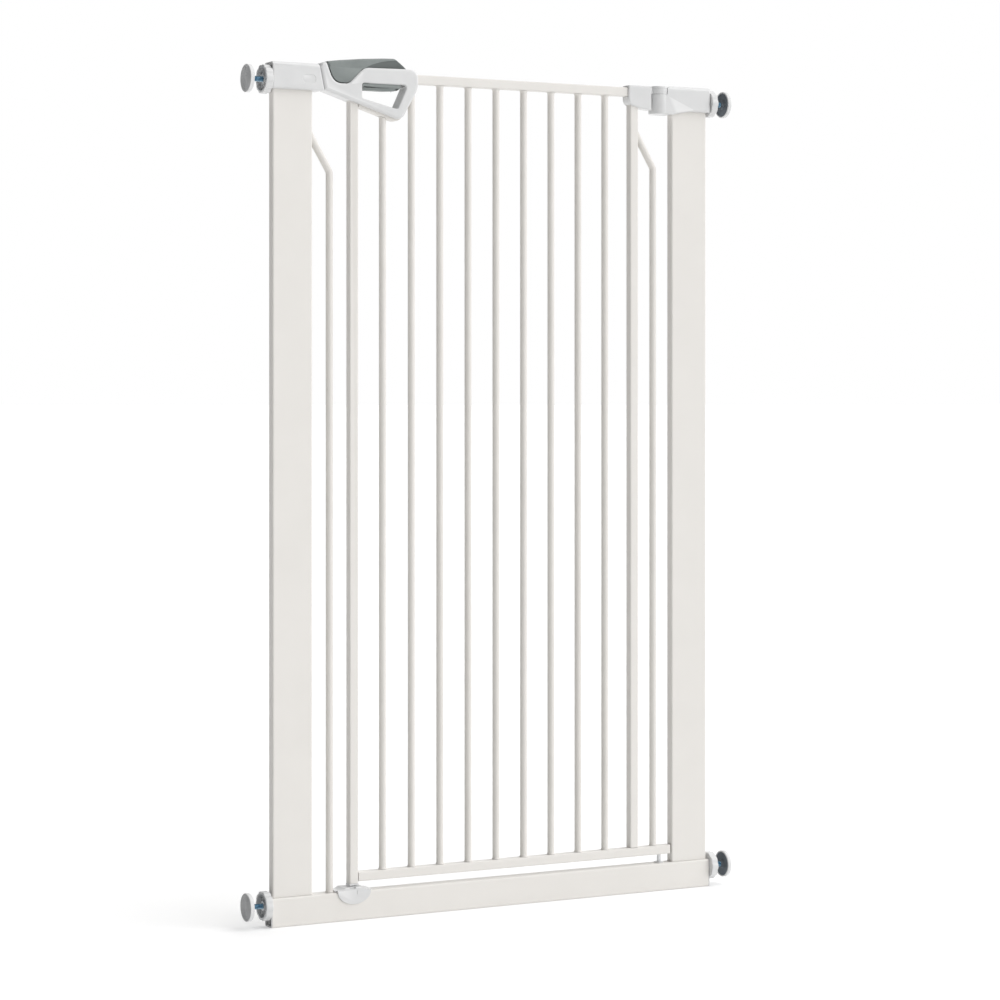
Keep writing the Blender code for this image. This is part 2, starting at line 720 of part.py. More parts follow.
def make_keeper(plastic):
    """Saddle over the rail: a tongue to the frame's bar, and a socket for the rod between two ramps."""
    middle = LATCH_X + KEEPER_OFFSET
    top = RAIL_HEIGHT + GAP
    inner = RAIL_DEPTH / 2 + GAP
    outer = inner + KEEPER_SKIN
    low = top + KEEPER_PLATE
    obj = make_object("latch_keeper", block((middle - KEEPER_HALF, -outer, top),
                                            (middle + KEEPER_HALF, outer, low)), plastic)
    turns = (math.pi + math.pi * i / 16 for i in range(17))
    disc = [(middle + KEEPER_HALF * math.cos(a), low - 0.001 + KEEPER_DROP * math.sin(a), 0)
            for a in turns]
    ramp = [(middle - 0.0230, low - 0.001, 0), (middle - 0.0150, top + KEEPER_LIP, 0.004),
            (middle + 0.0150, top + KEEPER_LIP, 0.004), (middle + 0.0230, low - 0.001, 0)]
    half = STILE / 2
    tongue = -POST_IN + (LATCH_SPACE + BAR_DIAMETER) / 2 + GAP
    fuse(obj,
         prism(disc, -outer, -inner), prism(disc, outer, inner),
         prism(ramp, -outer, -outer + 0.0030), prism(ramp, outer, outer - 0.0030),
         block((tongue, -half, top), (middle, half, low)),
         block((LATCH_X - half, -half, top), (LATCH_X + half, half, top + KEEPER_BLOCK)))
    cut(obj, rod(ROD_RADIUS + RUN * 2, (LATCH_X, 0, low), (LATCH_X, 0, top + KEEPER_BLOCK + 0.005), 16))
    return obj


# ================================================================ door
def make_door_frame(paint, door):
    latch = make_object("left_stile", square_tube([(LATCH_X, STILE_UNDER), (LATCH_X, DOOR_TOP)]), paint)
    slot = PIN_RADIUS + RUN
    cut(latch, block((LATCH_X - slot, -STILE, PIN_Z - slot),
                     (LATCH_X + slot, STILE, PIN_Z + LOCK_TRAVEL + slot)))
    hinge = make_object("right_stile", square_tube([(HINGE_STILE_X, LOW_RAIL_TOP + GAP),
                                                    (HINGE_STILE_X, DOOR_TOP)]), paint)
    face = STILE / 2 + GAP
    high = RAIL_UNDER + STILE / 2
    top = make_object("door_top_rail", square_tube([(LATCH_X + face, high), (HINGE_STILE_X - face, high)]),
                      paint)
    low = DOOR_UNDER + STILE / 2
    bottom = make_object("door_bottom_rail",
                         square_tube([(LATCH_X + face, low), (HINGE_X + RAIL_REACH, low)]), paint)
    cut(bottom, rod(HINGE_PIN + GAP, (HINGE_X, 0, DOOR_UNDER - 0.005), (HINGE_X, 0, low), 16))
    for obj in (latch, hinge, top, bottom):
        hang(obj, door)


def strap_height(x):
    """Height of the strap's centre line on its straight run, along the handle's lower edge."""
    low = from_latch(HANDLE_CORNERS)[-1]
    tip = from_latch(HANDLE_CORNERS)[-2]
    return low[1] - STRAP_DROP + (x - low[0]) * (tip[1] - low[1]) / (tip[0] - low[0])


def strap_path():
    """From the latch stile along the handle's lower edge, round its tip and up to bar 2."""
    start = LATCH_X + STILE / 2 - STRAP_THICK / 2
    bend = from_latch(HANDLE_CORNERS)[-2][0] - STRAP_BACK
    end = bar_x(2) - BAR_DIAMETER / 2 + 0.001
    corners = [(start, strap_height(start), 0.0), (bend, strap_height(bend), STRAP_BEND),
               (end, strap_height(bend) + STRAP_RISE, 0.0)]
    return fillet(corners, closed=False, steps=5)


def make_bars(paint, door):
    """Bar 1 ends under the handle's strap; the others run from rail to rail."""
    full = bar_tube([(0, LOW_RAIL_TOP + GAP), (0, RAIL_UNDER - GAP)])
    shared = make_object("door_bar_2", full, paint)
    shared.location.x = bar_x(2)
    bars = [shared]
    for number in range(3, BAR_COUNT + 1):
        obj = shared.copy()
        obj.name = f"door_bar_{number}"
        obj.location.x = bar_x(number)
        bpy.context.scene.collection.objects.link(obj)
        bars.append(obj)
    x = bar_x(1)
    short = make_object("door_bar_1", bar_tube([(x, LOW_RAIL_TOP + GAP), (x, DOOR_TOP - 0.03)]), paint)
    near = x - BAR_DIAMETER
    far = x + BAR_DIAMETER
    slope = (strap_height(far) - strap_height(near)) / (far - near)
    drop = STRAP_THICK / 2 * math.hypot(1, slope) + GAP
    above = [(near, strap_height(near) - drop, 0), (far, strap_height(far) - drop, 0),
             (far, DOOR_TOP, 0), (near, DOOR_TOP, 0)]
    cut(short, prism(above, -0.02, 0.02))
    for obj in bars:
        obj.parent = door
        obj.location.x -= HINGE_X
    hang(short, door)


def make_strap(paint, door):
    path = strap_path()
    bm = loft(sweep_rings(path, box_section(STRAP_THICK, STILE, 0.0012)))
    obj = make_object("handle_strap", bm, paint)
    cut(obj, block((LATCH_X, -STILE, POST_TOP - 0.25), (LATCH_X + STILE / 2 + GAP, STILE, DOOR_TOP)),
        rod(BAR_DIAMETER / 2 + GAP, (bar_x(2), 0, POST_TOP - 0.25), (bar_x(2), 0, DOOR_TOP), BAR_SIDES))
    hang(obj, door)


def make_bracket(plastic, door):
    """Two plates around the hinge stile's top; the front one carries the door's knuckle."""
    outline = [(HINGE_X + x, DOOR_TOP + z, r) for x, z, r in BRACKET_CORNERS]
    half = STILE / 2 + GAP
    arm_low = KNUCKLE_SPLIT + GAP
    arm_top = DOOR_TOP + BRACKET_PROUD
    shells = []
    for name, face in (("hinge_bracket_front", -1), ("hinge_bracket_back", 1)):
        obj = make_object(name, prism(outline, face * BRACKET_HALF, face * HALF_GAP, CHAMFER), plastic)
        cut(obj, prism(inset(outline, SHELL_WALL), face * (BRACKET_HALF - SHELL_WALL), -face * 0.001),
            solver="MANIFOLD")
        shells.append(obj)
    front, back = shells
    root = HINGE_X - BRACKET_RIGHT - 0.0120
    fuse(front,
         block((root, -ARM_HALF, arm_low), (HINGE_X, ARM_HALF, arm_top - 0.0005)),
         rod(KNUCKLE_RADIUS, (HINGE_X, 0, arm_low), (HINGE_X, 0, KNUCKLE_TOP), 32), solver="MANIFOLD")
    cut(front, rod(HINGE_PIN + RUN, (HINGE_X, 0, arm_low - 0.005), (HINGE_X, 0, KNUCKLE_TOP - 0.0027), 16),
        solver="MANIFOLD")
    cut(back, block((root - GAP, -0.001, arm_low - GAP), (HINGE_X, ARM_HALF + GAP, arm_top + 0.005)),
        solver="MANIFOLD")
    for obj in shells:
        cut(obj, block((HINGE_STILE_X - half, -half, POST_TOP - 0.25),
                       (HINGE_STILE_X + half, half, DOOR_TOP + GAP)),
            block((HINGE_STILE_X - 0.05, -half, RAIL_UNDER - GAP), (HINGE_STILE_X, half, DOOR_TOP + GAP)),
            solver="MANIFOLD")
        hang(obj, door)


def handle_rooms():
    """What both handle shells leave free: stile, rails, bar 2, strap, bolt and trigger."""
    half = STILE / 2 + GAP
    bar = bar_x(2)
    strap = loft(sweep_rings(strap_path(), box_section(STRAP_THICK + 2 * GAP, STILE + 2 * GAP, 0.001)))
    window_top = DOOR_TOP + WINDOW_CORNERS[0][1]
    slot_low = LATCH_X + TRIGGER_CORNERS[0][0] - RUN
    slot_high = LATCH_X + WINDOW_CORNERS[1][0] - 0.0010
    cheek = PLATE_FAR + GAP
    return [
        block((LATCH_X - half, -half, POST_TOP - 0.25), (LATCH_X + half, half, DOOR_TOP + GAP)),
        block((LATCH_X, -half, RAIL_UNDER - GAP), (LATCH_X + 0.15, half, DOOR_TOP + GAP)),
        rod(BAR_DIAMETER / 2 + GAP, (bar, 0, POST_TOP - 0.25), (bar, 0, RAIL_UNDER), 16),
        strap,
        bolt_window(),
        block((slot_low, -cheek, window_top - 0.002), (slot_high, cheek, window_top + 0.006)),
    ]


def slide_rooms():
    """The open top between the two skins, where the thumb slide's cap and skirts run."""
    half = HANDLE_HALF - SKIN
    rooms = []
    for corners, floor in ((CAP_TOP_CORNERS, DOOR_TOP), (SKIRT_CORNERS, DOOR_TOP + HANDLE_CORNERS[2][1])):
        left = LATCH_X + min(x for x, _, _ in corners) - SLIDE_SIDE
        right = LATCH_X + max(x for x, _, _ in corners) + SLIDE_TRAVEL + SLIDE_SIDE
        rooms.append(block((left, -half, floor), (right, half, DOOR_TOP + 0.03)))
    return rooms


def make_handle(plastic, steel, door):
    outline = from_latch(HANDLE_CORNERS)
    window = from_latch(WINDOW_CORNERS)
    for name, face in (("handle_front_shell", -1), ("handle_back_shell", 1)):
        obj = make_object(name, prism(outline, face * HANDLE_HALF, face * HALF_GAP, CHAMFER), plastic)
        inside = helper(f"{name}_inside",
                        prism(inset(outline, SHELL_WALL), face * (HANDLE_HALF - SKIN), -face * 0.001))
        cut(inside, prism(inset(window, -SHELL_WALL), -0.02, 0.02))
        hollow = obj.modifiers.new("hollow", "BOOLEAN")
        hollow.operation = "DIFFERENCE"
        hollow.solver = "MANIFOLD"
        hollow.object = inside
        x, z = screw_place("handle_screw")
        fuse(obj, screw_boss("handle_screw", HANDLE_HALF, SKIN, face * HALF_GAP), solver="MANIFOLD")
        shapes = [prism(window, -0.02, 0.02), *slide_rooms(), *handle_rooms()]
        if face > 0:
            shapes += screw_hole("handle_screw", HANDLE_HALF)
        else:
            shapes.append(rod(SCREW_RADIUS + RUN, (x, -0.008, z), (x, 0.001, z), 12))
        cut(obj, *shapes, solver="MANIFOLD")
        hang(obj, door)
    hang(make_screw("handle_screw", HANDLE_HALF, steel), door)


def make_foot_and_guide(plastic, door):
    """Plug in the stile's lower end, and the guide above the lock rod's spring."""
    half = STILE / 2
    core = half - TUBE_WALL - GAP
    foot = make_object("stile_foot", block((LATCH_X - half, -half, FOOT_LOW),
                                           (LATCH_X + half, half, STILE_UNDER - GAP)), plastic)
    fuse(foot, block((LATCH_X - core, -core, STILE_UNDER - 0.001),
                     (LATCH_X + core, core, STILE_UNDER + FOOT_PLUG)))
    cut(foot, rod(ROD_RADIUS + RUN, (LATCH_X, 0, 0), (LATCH_X, 0, 0.2), 16))
    low = COLLAR_AT + COLLAR_HEIGHT + SPRING_ROOM
    guide = make_object("lock_rod_guide", block((LATCH_X - core, -core, low),
                                                (LATCH_X + core, core, low + GUIDE_LENGTH)), plastic)
    cut(guide, rod(ROD_RADIUS + RUN, (LATCH_X, 0, 0), (LATCH_X, 0, 0.2), 16))
    for obj in (foot, guide):
        hang(obj, door)


# ================================================================ double lock
def make_thumb_slide(grey, latch):
    """Grip cap with a skirt behind each shell's cut-out and a lug that drives the bolt."""
    cap = from_latch(CAP_TOP_CORNERS)
    obj = make_object("thumb_slide", prism(cap, -CAP_HALF, CAP_HALF), grey)
    skirt = from_latch(SKIRT_CORNERS)
    lug_left = LATCH_X - STILE / 2 - BOLT_TAIL - 0.0048
    lug = DOOR_TOP + CAP_CLEAR + 0.0005
    bolt_top = BOLT_Z + BOLT_HALF
    fuse(obj,
         prism(skirt, -SKIRT_FAR, -SKIRT_NEAR), prism(skirt, SKIRT_FAR, SKIRT_NEAR),
         block((lug_left, -0.0040, bolt_top + GAP), (lug_left + 0.0040, 0.0040, lug)),
         block((lug_left + 0.0010, -0.0020, bolt_top - 0.0040),
               (lug_left + 0.0030, 0.0020, bolt_top + 0.001)))
    hang(obj, latch)


def make_latch_bolt(steel, latch):
    tip = handle_left(BOLT_Z) - LATCH_SLIT - BOLT_REACH
    shoulder = LATCH_X - STILE / 2 - BOLT_TAIL
    wedge = [(tip, BOLT_Z + BOLT_HALF, 0.0010), (tip, BOLT_Z - BOLT_HALF, 0.0010),
             (shoulder, BOLT_Z - BOLT_HALF, 0.0), (shoulder, BOLT_Z + BOLT_HALF, 0.0)]
    obj = make_object("latch_bolt", prism(wedge, -BOLT_HALF, BOLT_HALF), steel)
    lug_left = shoulder - 0.0048
    peg_room = block((lug_left + 0.0010 - GAP, -0.0020 - GAP, BOLT_Z + BOLT_HALF - 0.0040 - GAP),
                     (lug_left + 0.0030 + GAP, 0.0020 + GAP, BOLT_Z + BOLT_HALF + 0.001))
    fuse(obj, rod(0.0020, (shoulder - 0.001, 0, BOLT_Z), (shoulder + 0.0040, 0, BOLT_Z), 12))
    cut(obj, peg_room)
    hang(obj, latch)


def make_trigger(grey, lock):
    """Grip in the finger window, with two cheeks that run beside the rail to the lock rod's pin."""
    grip = from_latch(TRIGGER_CORNERS)
    obj = make_object("squeeze_trigger", prism(grip, -PLATE_FAR, PLATE_FAR), grey)
    left = LATCH_X - 0.0040
    riser = LATCH_X + TRIGGER_CORNERS[0][0] + 0.0010
    right = LATCH_X + TRIGGER_CORNERS[-1][0] - 0.0010
    low = PIN_Z - 0.0035
    high = PIN_Z + 0.0030
    grip_top = DOOR_TOP + TRIGGER_CORNERS[0][1]
    for face in (-1, 1):
        near, far = sorted((face * PLATE_NEAR, face * PLATE_FAR))
        fuse(obj, block((left, near, low), (right, far, high)),
             block((riser, near, grip_top - 0.001), (right, far, low + 0.001)))
    cut(obj, rod(PIN_RADIUS + RUN, (LATCH_X, -0.02, PIN_Z), (LATCH_X, 0.02, PIN_Z), 12))
    hang(obj, lock)


def make_lock_rod(steel, lock):
    """Rod inside the latch stile: cross pin at the top, spring collar, tip in the keeper."""
    obj = make_object("lock_rod", rod(ROD_RADIUS, (LATCH_X, 0, ROD_LOW), (LATCH_X, 0, PIN_Z + 0.003), 12),
                      steel)
    fuse(obj, rod(PIN_RADIUS, (LATCH_X, -PLATE_FAR, PIN_Z), (LATCH_X, PLATE_FAR, PIN_Z), 12),
         rod(COLLAR_RADIUS, (LATCH_X, 0, COLLAR_AT), (LATCH_X, 0, COLLAR_AT + COLLAR_HEIGHT), 16))
    hang(obj, lock)


def make_springs(steel, door):
    shoulder = LATCH_X - STILE / 2 - BOLT_TAIL
    latch_spring = spring("latch_spring", (shoulder + GAP, 0, BOLT_Z),
                          (LATCH_X - STILE / 2 - GAP, 0, BOLT_Z), 0.0032, steel)
    low = COLLAR_AT + COLLAR_HEIGHT
    lock_spring = spring("lock_spring", (LATCH_X, 0, low + GAP), (LATCH_X, 0, low + SPRING_ROOM - GAP),
                         0.0038, steel)
    for obj in (latch_spring, lock_spring):
        obj.parent = door
        obj.location = -door.location


# ================================================================ screw feet
def lobed_ring(radius, z, place, count=WHEEL_LOBES * 6):
    """Rim of a handwheel: round lobes with shallow hollows between them."""
    points = []
    for i in range(count):
        angle = 2 * math.pi * i / count
        local = radius - WHEEL_DIP * (0.5 - 0.5 * math.cos(WHEEL_LOBES * angle)) ** 3
        points.append(place @ Vector((local * math.cos(angle), local * math.sin(angle), z)))
    return points


def make_screw_foot(corner, side, z, mats, root):
    """One handwheel, spindle, pad cup and rubber pad; the handwheel bears on the frame's end."""
    white, rubber, steel = mats
    near = side * (FRAME_END + GAP)
    outwards = Vector((side, 0, 0)).to_track_quat("Z", "Y").to_matrix().to_4x4()
    place = Matrix.Translation((near, 0, z)) @ outwards
    wheel_joint = empty(f"handwheel_axis_{corner}", (near, 0, z), root)
    bm = loft([lobed_ring(WHEEL_RADIUS - 0.0008, 0, place), lobed_ring(WHEEL_RADIUS, 0.0008, place),
               lobed_ring(WHEEL_RADIUS, WHEEL_THICK - 0.0008, place),
               lobed_ring(WHEEL_RADIUS - 0.0008, WHEEL_THICK, place)])
    wheel = make_object(f"handwheel_{corner}", bm, white)
    rim = WHEEL_RADIUS - WHEEL_DIP - WHEEL_WALL
    face = near + side * WHEEL_THICK
    beyond = WHEEL_THICK + 0.005
    recess = [(WHEEL_WEB, WHEEL_HUB), (WHEEL_WEB, rim), (beyond, rim), (beyond, WHEEL_HUB)]
    cut(wheel, turned(recess, (near, 0, z), (side, 0, 0), 24),
        rod(SPINDLE_RADIUS + RUN, (near - side * 0.005, 0, z), (face + side * 0.005, 0, z)))
    hang(wheel, wheel_joint)

    inner = face + side * PAD_SPACE                      # gate-facing edge of the pad's rim
    slide_joint = empty(f"spindle_axis_{corner}", (inner, 0, z), root)
    rim_end = PAD_DEPTH - RUBBER_PROUD
    web = rim_end - PAD_WEB
    seat = PAD_RADIUS - PAD_RIM / 2
    profile = [(-PAD_BOSS, SPINDLE_RADIUS + GAP), (-PAD_BOSS, PAD_BOSS_RADIUS),
               (web - PAD_WEB, PAD_BOSS_RADIUS),
               (web - PAD_WEB, PAD_RADIUS - PAD_RIM), (0, PAD_RADIUS - PAD_RIM), (0, PAD_RADIUS - 0.0006),
               (0.0006, PAD_RADIUS), (rim_end, PAD_RADIUS), (rim_end, seat), (web, seat),
               (web, 0.0020), (web - PAD_WEB / 2, 0.0020), (web - PAD_WEB / 2, SPINDLE_RADIUS + GAP)]
    cup = make_object(f"pad_cup_{corner}", turned(profile, (inner, 0, z), (side, 0, 0), 32), white)
    pad = [(web + GAP, 0), (web + GAP, seat - GAP), (rim_end + GAP, seat - GAP), (rim_end + GAP, PAD_RADIUS),
           (PAD_DEPTH - 0.0004, PAD_RADIUS), (PAD_DEPTH, PAD_RADIUS - 0.0004), (PAD_DEPTH, 0)]
    cover = make_object(f"rubber_pad_{corner}", turned(pad, (inner, 0, z), (side, 0, 0), 32), rubber)
    end = inner + side * (web - PAD_WEB / 2 - GAP)
    thread = make_object(f"spindle_{corner}",
                         rod(SPINDLE_RADIUS, (end - side * SPINDLE_LENGTH, 0, z), (end, 0, z), 16), steel)
    for obj in (cup, cover, thread):
        hang(obj, slide_joint)


# ================================================================ the whole gate
def build_gate():
    clear_scene()
    paint = make_material("warm_white_paint", (0.76, 0.74, 0.71), 0.45)
    plastic = make_material("white_plastic", (0.72, 0.72, 0.72), 0.35)
    grey = make_material("grey_plastic", (0.22, 0.245, 0.24), 0.45)
    rubber = make_material("grey_rubber", (0.25, 0.26, 0.27), 0.8)
    steel = make_material("blue_zinc_steel", (0.45, 0.55, 0.62), 0.25, 1.0)

    root = empty("gate", (0, 0, 0))
    door = empty("door_axis", (HINGE_X, 0, 0))
    latch = empty("latch_axis", (LATCH_X, 0, BOLT_Z))
    lock = empty("lock_axis", (LATCH_X, 0, PIN_Z))

    make_posts(paint)
    make_bottom_rail(paint, plastic)
    gap_middle = POST_IN - LATCH_SPACE / 2
    make_bent_bar("left_fixed_bar", -gap_middle, RAIL_HEIGHT + GAP, FIXED_KNEE, -POST_IN, paint)
    make_casings(plastic, steel)
    make_hinge_pins(steel, plastic, door)
    make_keeper(plastic)

    make_door_frame(paint, door)
    make_bars(paint, door)
    door_bar_x = (HINGE_STILE_X + STILE / 2 + POST_IN) / 2
    bent = make_bent_bar("door_bent_bar", door_bar_x, LOW_RAIL_TOP + GAP, DOOR_KNEE,
                         HINGE_STILE_X + STILE / 2, paint)
    hang(bent, door)
    make_strap(paint, door)
    make_bracket(plastic, door)
    make_handle(plastic, steel, door)
    make_foot_and_guide(plastic, door)

    make_thumb_slide(grey, latch)
    make_latch_bolt(steel, latch)
    make_trigger(grey, lock)
    make_lock_rod(steel, lock)
    make_springs(steel, door)

    for corner, side, z in (("bottom_left", -1, SPINDLE_LOW), ("bottom_right", 1, SPINDLE_LOW),
                            ("top_left", -1, SPINDLE_HIGH), ("top_right", 1, SPINDLE_HIGH)):
        make_screw_foot(corner, side, z, (plastic, rubber, steel), root)


build_gate()
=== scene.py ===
"""Looks of the pressure-mounted safety gate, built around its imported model.

Metres, +Z up.  X runs from the latch side (-X) to the hinge side (+X), the front is at -Y.
"""

import math

import bmesh
import bpy
from mathutils import Matrix, Vector


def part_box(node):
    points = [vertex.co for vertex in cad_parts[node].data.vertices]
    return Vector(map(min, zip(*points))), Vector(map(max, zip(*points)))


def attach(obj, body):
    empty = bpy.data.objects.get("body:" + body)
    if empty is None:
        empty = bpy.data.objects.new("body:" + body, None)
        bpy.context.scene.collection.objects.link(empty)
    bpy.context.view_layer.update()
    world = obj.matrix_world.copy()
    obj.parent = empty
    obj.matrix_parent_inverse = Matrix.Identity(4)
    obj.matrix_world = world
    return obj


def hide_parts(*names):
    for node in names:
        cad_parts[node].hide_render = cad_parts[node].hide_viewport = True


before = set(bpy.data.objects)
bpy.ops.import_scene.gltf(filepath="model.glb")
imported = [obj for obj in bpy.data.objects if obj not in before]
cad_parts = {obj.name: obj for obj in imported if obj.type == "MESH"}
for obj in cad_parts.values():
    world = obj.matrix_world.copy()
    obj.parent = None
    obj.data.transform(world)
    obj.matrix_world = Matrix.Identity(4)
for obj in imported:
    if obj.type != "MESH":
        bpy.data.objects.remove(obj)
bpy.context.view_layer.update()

# ---------------------------------------------------------------- sizes
GAP = 0.0003
TUBE_WALL = 0.0012
STILE = 0.0140
BAR_RADIUS = 0.00525
LATCH_X = -0.23825
HINGE_X = 0.28595
POST_IN = 0.30515
POST_OUT = 0.36815
DOOR_TOP = 1.2420
CASING_HALF = 0.0155
CASING_WALL = 0.0020         # skin left around the end pockets
CASING_TOP = 1.2490
HINGE_CASING_TOP = 1.2470
CASING_UNDER = 1.2098
CASING_OUT = POST_OUT + 0.0030
LATCH_SLIT = 0.0020
HANDLE_HALF = 0.0130
HANDLE_SKIN = 0.0016
BRACKET_HALF = 0.0100
ARM_HALF = 0.0060
KNUCKLE_RADIUS = 0.0160
KNUCKLE_SPLIT = 1.2336
KNUCKLE_UNDER = 1.2030
KNUCKLE_TOP = 1.2462
BEND = math.tan(math.radians(30.5))
SPINDLE_HIGH = 1.2235
SPINDLE_LOW = 0.0310
SPINDLE_BORE = 0.0043
BOLT_Z = 1.2320
BOLT_ROOM_LOW = 1.2267
BOLT_ROOM_HIGH = 1.2373
BOLT_ROOM_HALF = 0.0053
WHEEL_RADIUS = 0.0212
WHEEL_DIP = 0.0013
WHEEL_THICK = 0.0110
WHEEL_X = 0.37195           # inner face of each handwheel
PAD_RADIUS = 0.02035
PAD_DEPTH = 0.0060
PAD_END = 0.40705           # outer face of each rubber pad
THREAD_PITCH = 0.00125
SCREW_HEAD = 0.0034
SCREW_BORE = 0.0021
PIN_BORE = 0.0033
RAIL_TOP = 0.0425            # top face of the bottom rail


# ================================================================ shapes
def fillet(corners, closed=True, steps=8):
    """Points of an outline whose corners (x, z, radius) are rounded by arcs."""
    points = []
    count = len(corners)
    for i, (x, z, radius) in enumerate(corners):
        here = Vector((x, z))
        if not closed and i in (0, count - 1) or radius <= 0:
            points.append(here)
            continue
        back = (Vector(corners[i - 1][:2]) - here).normalized()
        ahead = (Vector(corners[(i + 1) % count][:2]) - here).normalized()
        half = back.angle(ahead) / 2
        centre = here + (back + ahead).normalized() * (radius / math.sin(half))
        start = here + back * (radius / math.tan(half)) - centre
        end = here + ahead * (radius / math.tan(half)) - centre
        sweep = start.angle_signed(end)
        for step in range(steps + 1):
            angle = -sweep * step / steps
            points.append(centre + Vector((start.x * math.cos(angle) - start.y * math.sin(angle),
                                           start.x * math.sin(angle) + start.y * math.cos(angle))))
    return points


def anticlockwise(corners):
    turns = zip(corners, corners[1:] + corners[:1])
    area = sum(a[0] * b[1] - b[0] * a[1] for a, b in turns)
    return list(corners) if area > 0 else list(corners)[::-1]


def inset(corners, distance):
    """Corners of an outline moved inwards; arcs keep their centres."""
    corners = anticlockwise(corners)
    moved = []
    for i, (x, z, radius) in enumerate(corners):
        here = Vector((x, z))
        before = (here - Vector(corners[i - 1][:2])).normalized()
        after = (Vector(corners[(i + 1) % len(corners)][:2]) - here).normalized()
        inward = Vector((-before.y - after.y, before.x + after.x))
        place = here + inward * (distance / (1 + before.dot(after)))
        bulge = 1 if before.cross(after) > 0 else -1
        if radius > 0:
            radius = max(radius - bulge * distance, 0.0003)
        moved.append((place.x, place.y, radius))
    return moved


def loft(rings):
    """A closed solid through rings of equally many points."""
    bm = bmesh.new()
    loops = [[bm.verts.new(p) for p in ring] for ring in rings]
    count = len(loops[0])
    for first, second in zip(loops, loops[1:]):
        for i in range(count):
            j = (i + 1) % count
            bm.faces.new((first[i], first[j], second[j], second[i]))
    bm.faces.new(loops[0])
    bm.faces.new(loops[-1])
    return bm


def rounding(steps):
    """A rounded edge of radius 1 as (distance from the side, distance from the face) pairs."""
    angles = [math.pi / 2 * step / steps for step in range(steps + 1)]
    return [(1 - math.sin(angle), 1 - math.cos(angle)) for angle in angles]


def soft_prism(corners, near, far, edge=(0.0, 0.0), rounds=6, steps=8, flare=1.0, both=False):
    """An XZ outline carried along Y.  Its near edge, or both, is rounded: edge is how far the
    rounding reaches across the face and down the side.  flare=-1 widens the end instead."""
    corners = anticlockwise(corners)
    side = math.copysign(1.0, far - near)
    across, down = edge

    def ring(distance, y):
        return [(p.x, y, p.y) for p in fillet(inset(corners, flare * distance), steps=steps)]

    rings = []
    rim = across and flare > 0          # a narrow flat rim keeps the face's shading flat
    if rim:
        rings.append(ring(across + 0.0003, near))
    if across:
        rings += [ring(across * a, near + side * down * d) for a, d in rounding(rounds)]
    else:
        rings.append(ring(0, near))
    if both and across:
        rings += [ring(across * a, far - side * down * d) for a, d in rounding(rounds)[::-1]]
        if rim:
            rings.append(ring(across + 0.0003, far))
    else:
        rings.append(ring(0, far))
    return loft(rings)


def block(low, high):
    bm = bmesh.new()
    size = [b - a for a, b in zip(low, high)]
    middle = [(a + b) / 2 for a, b in zip(low, high)]
    bmesh.ops.create_cube(bm, size=1.0, matrix=Matrix.Translation(middle) @ Matrix.Diagonal((*size, 1.0)))
    return bm


def axis_frame(origin, direction):
    return Matrix.Translation(origin) @ Vector(direction).to_track_quat("Z", "Y").to_matrix().to_4x4()


def turned(profile, origin, direction, sides=48):
    """A turned shape from (distance along the axis, radius) pairs."""
    place = axis_frame(origin, direction)
    bm = bmesh.new()
    rings = []
    for along, radius in profile:
        if radius < 1e-6:
            rings.append([bm.verts.new(place @ Vector((0, 0, along)))])
            continue
        rings.append([bm.verts.new(place @ Vector((radius * math.cos(2 * math.pi * i / sides),
                                                   radius * math.sin(2 * math.pi * i / sides),
                                                   along))) for i in range(sides)])
    for first, second in zip(rings, rings[1:] + rings[:1]):
        if len(first) == 1 and len(second) == 1:
            continue
        for i in range(sides):
            j = (i + 1) % sides
            corners = [first[i % len(first)], first[j % len(first)],
                       second[j % len(second)], second[i % len(second)]]
            bm.faces.new(list(dict.fromkeys(corners)))
    return bm


def rod(radius, start, end, sides=32):
    length = (Vector(end) - Vector(start)).length
    profile = [(0, 0), (0, radius), (length, radius), (length, 0)]
    return turned(profile, start, Vector(end) - Vector(start), sides)


def round_section(radius, sides=28):
    return [(radius * math.cos(2 * math.pi * i / sides), radius * math.sin(2 * math.pi * i / sides))
            for i in range(sides)]


def box_section(width, depth, corner, steps=6):
    w = width / 2
    d = depth / 2
    corners = [(w, d, corner), (-w, d, corner), (-w, -d, corner), (w, -d, corner)]
    return [(p.x, p.y) for p in fillet(corners, steps=steps)]


def sweep_rings(path, section, growth=None):
    """Rings of a section along a path in the XZ plane, mitred at its bends."""
    rings = []
    for i, here in enumerate(path):
        before = (here - path[i - 1]).normalized() if i else (path[1] - here).normalized()
        after = (path[i + 1] - here).normalized() if i + 1 < len(path) else before
        along = (before + after).normalized()
        stretch = 1 / along.dot(before)
        normal = Vector((along.y, -along.x)) * stretch
        size = growth[i] if growth else 1.0
        rings.append([Vector((here.x + normal.x * u * size, v * size, here.y + normal.y * u * size))
                      for u, v in section])
    return rings


def square_tube(path, width, depth, corner, wall=TUBE_WALL):
    """A tube with open ends along a path in the XZ plane."""
    path = [Vector(p) for p in path]
    bm = bmesh.new()
    skins = []
    for section in (box_section(width, depth, corner),
                    box_section(width - 2 * wall, depth - 2 * wall, max(corner - wall, 0.0004))):
        skins.append([[bm.verts.new(p) for p in ring] for ring in sweep_rings(path, section)])
    count = len(skins[0][0])
    for rings in skins:
        for first, second in zip(rings, rings[1:]):
            for i in range(count):
                j = (i + 1) % count
                bm.faces.new((first[i], first[j], second[j], second[i]))
    for end in (0, -1):
        for i in range(count):
            j = (i + 1) % count
            bm.faces.new((skins[0][end][i], skins[0][end][j], skins[1][end][j], skins[1][end][i]))
    return bm


# ================================================================ pieces
def link(name, bm):
    bmesh.ops.recalc_face_normals(bm, faces=bm.faces)
    mesh = bpy.data.meshes.new(name)
    bm.to_mesh(mesh)
    bm.free()
    obj = bpy.data.objects.new(name, mesh)
    bpy.context.scene.collection.objects.link(obj)
    return obj


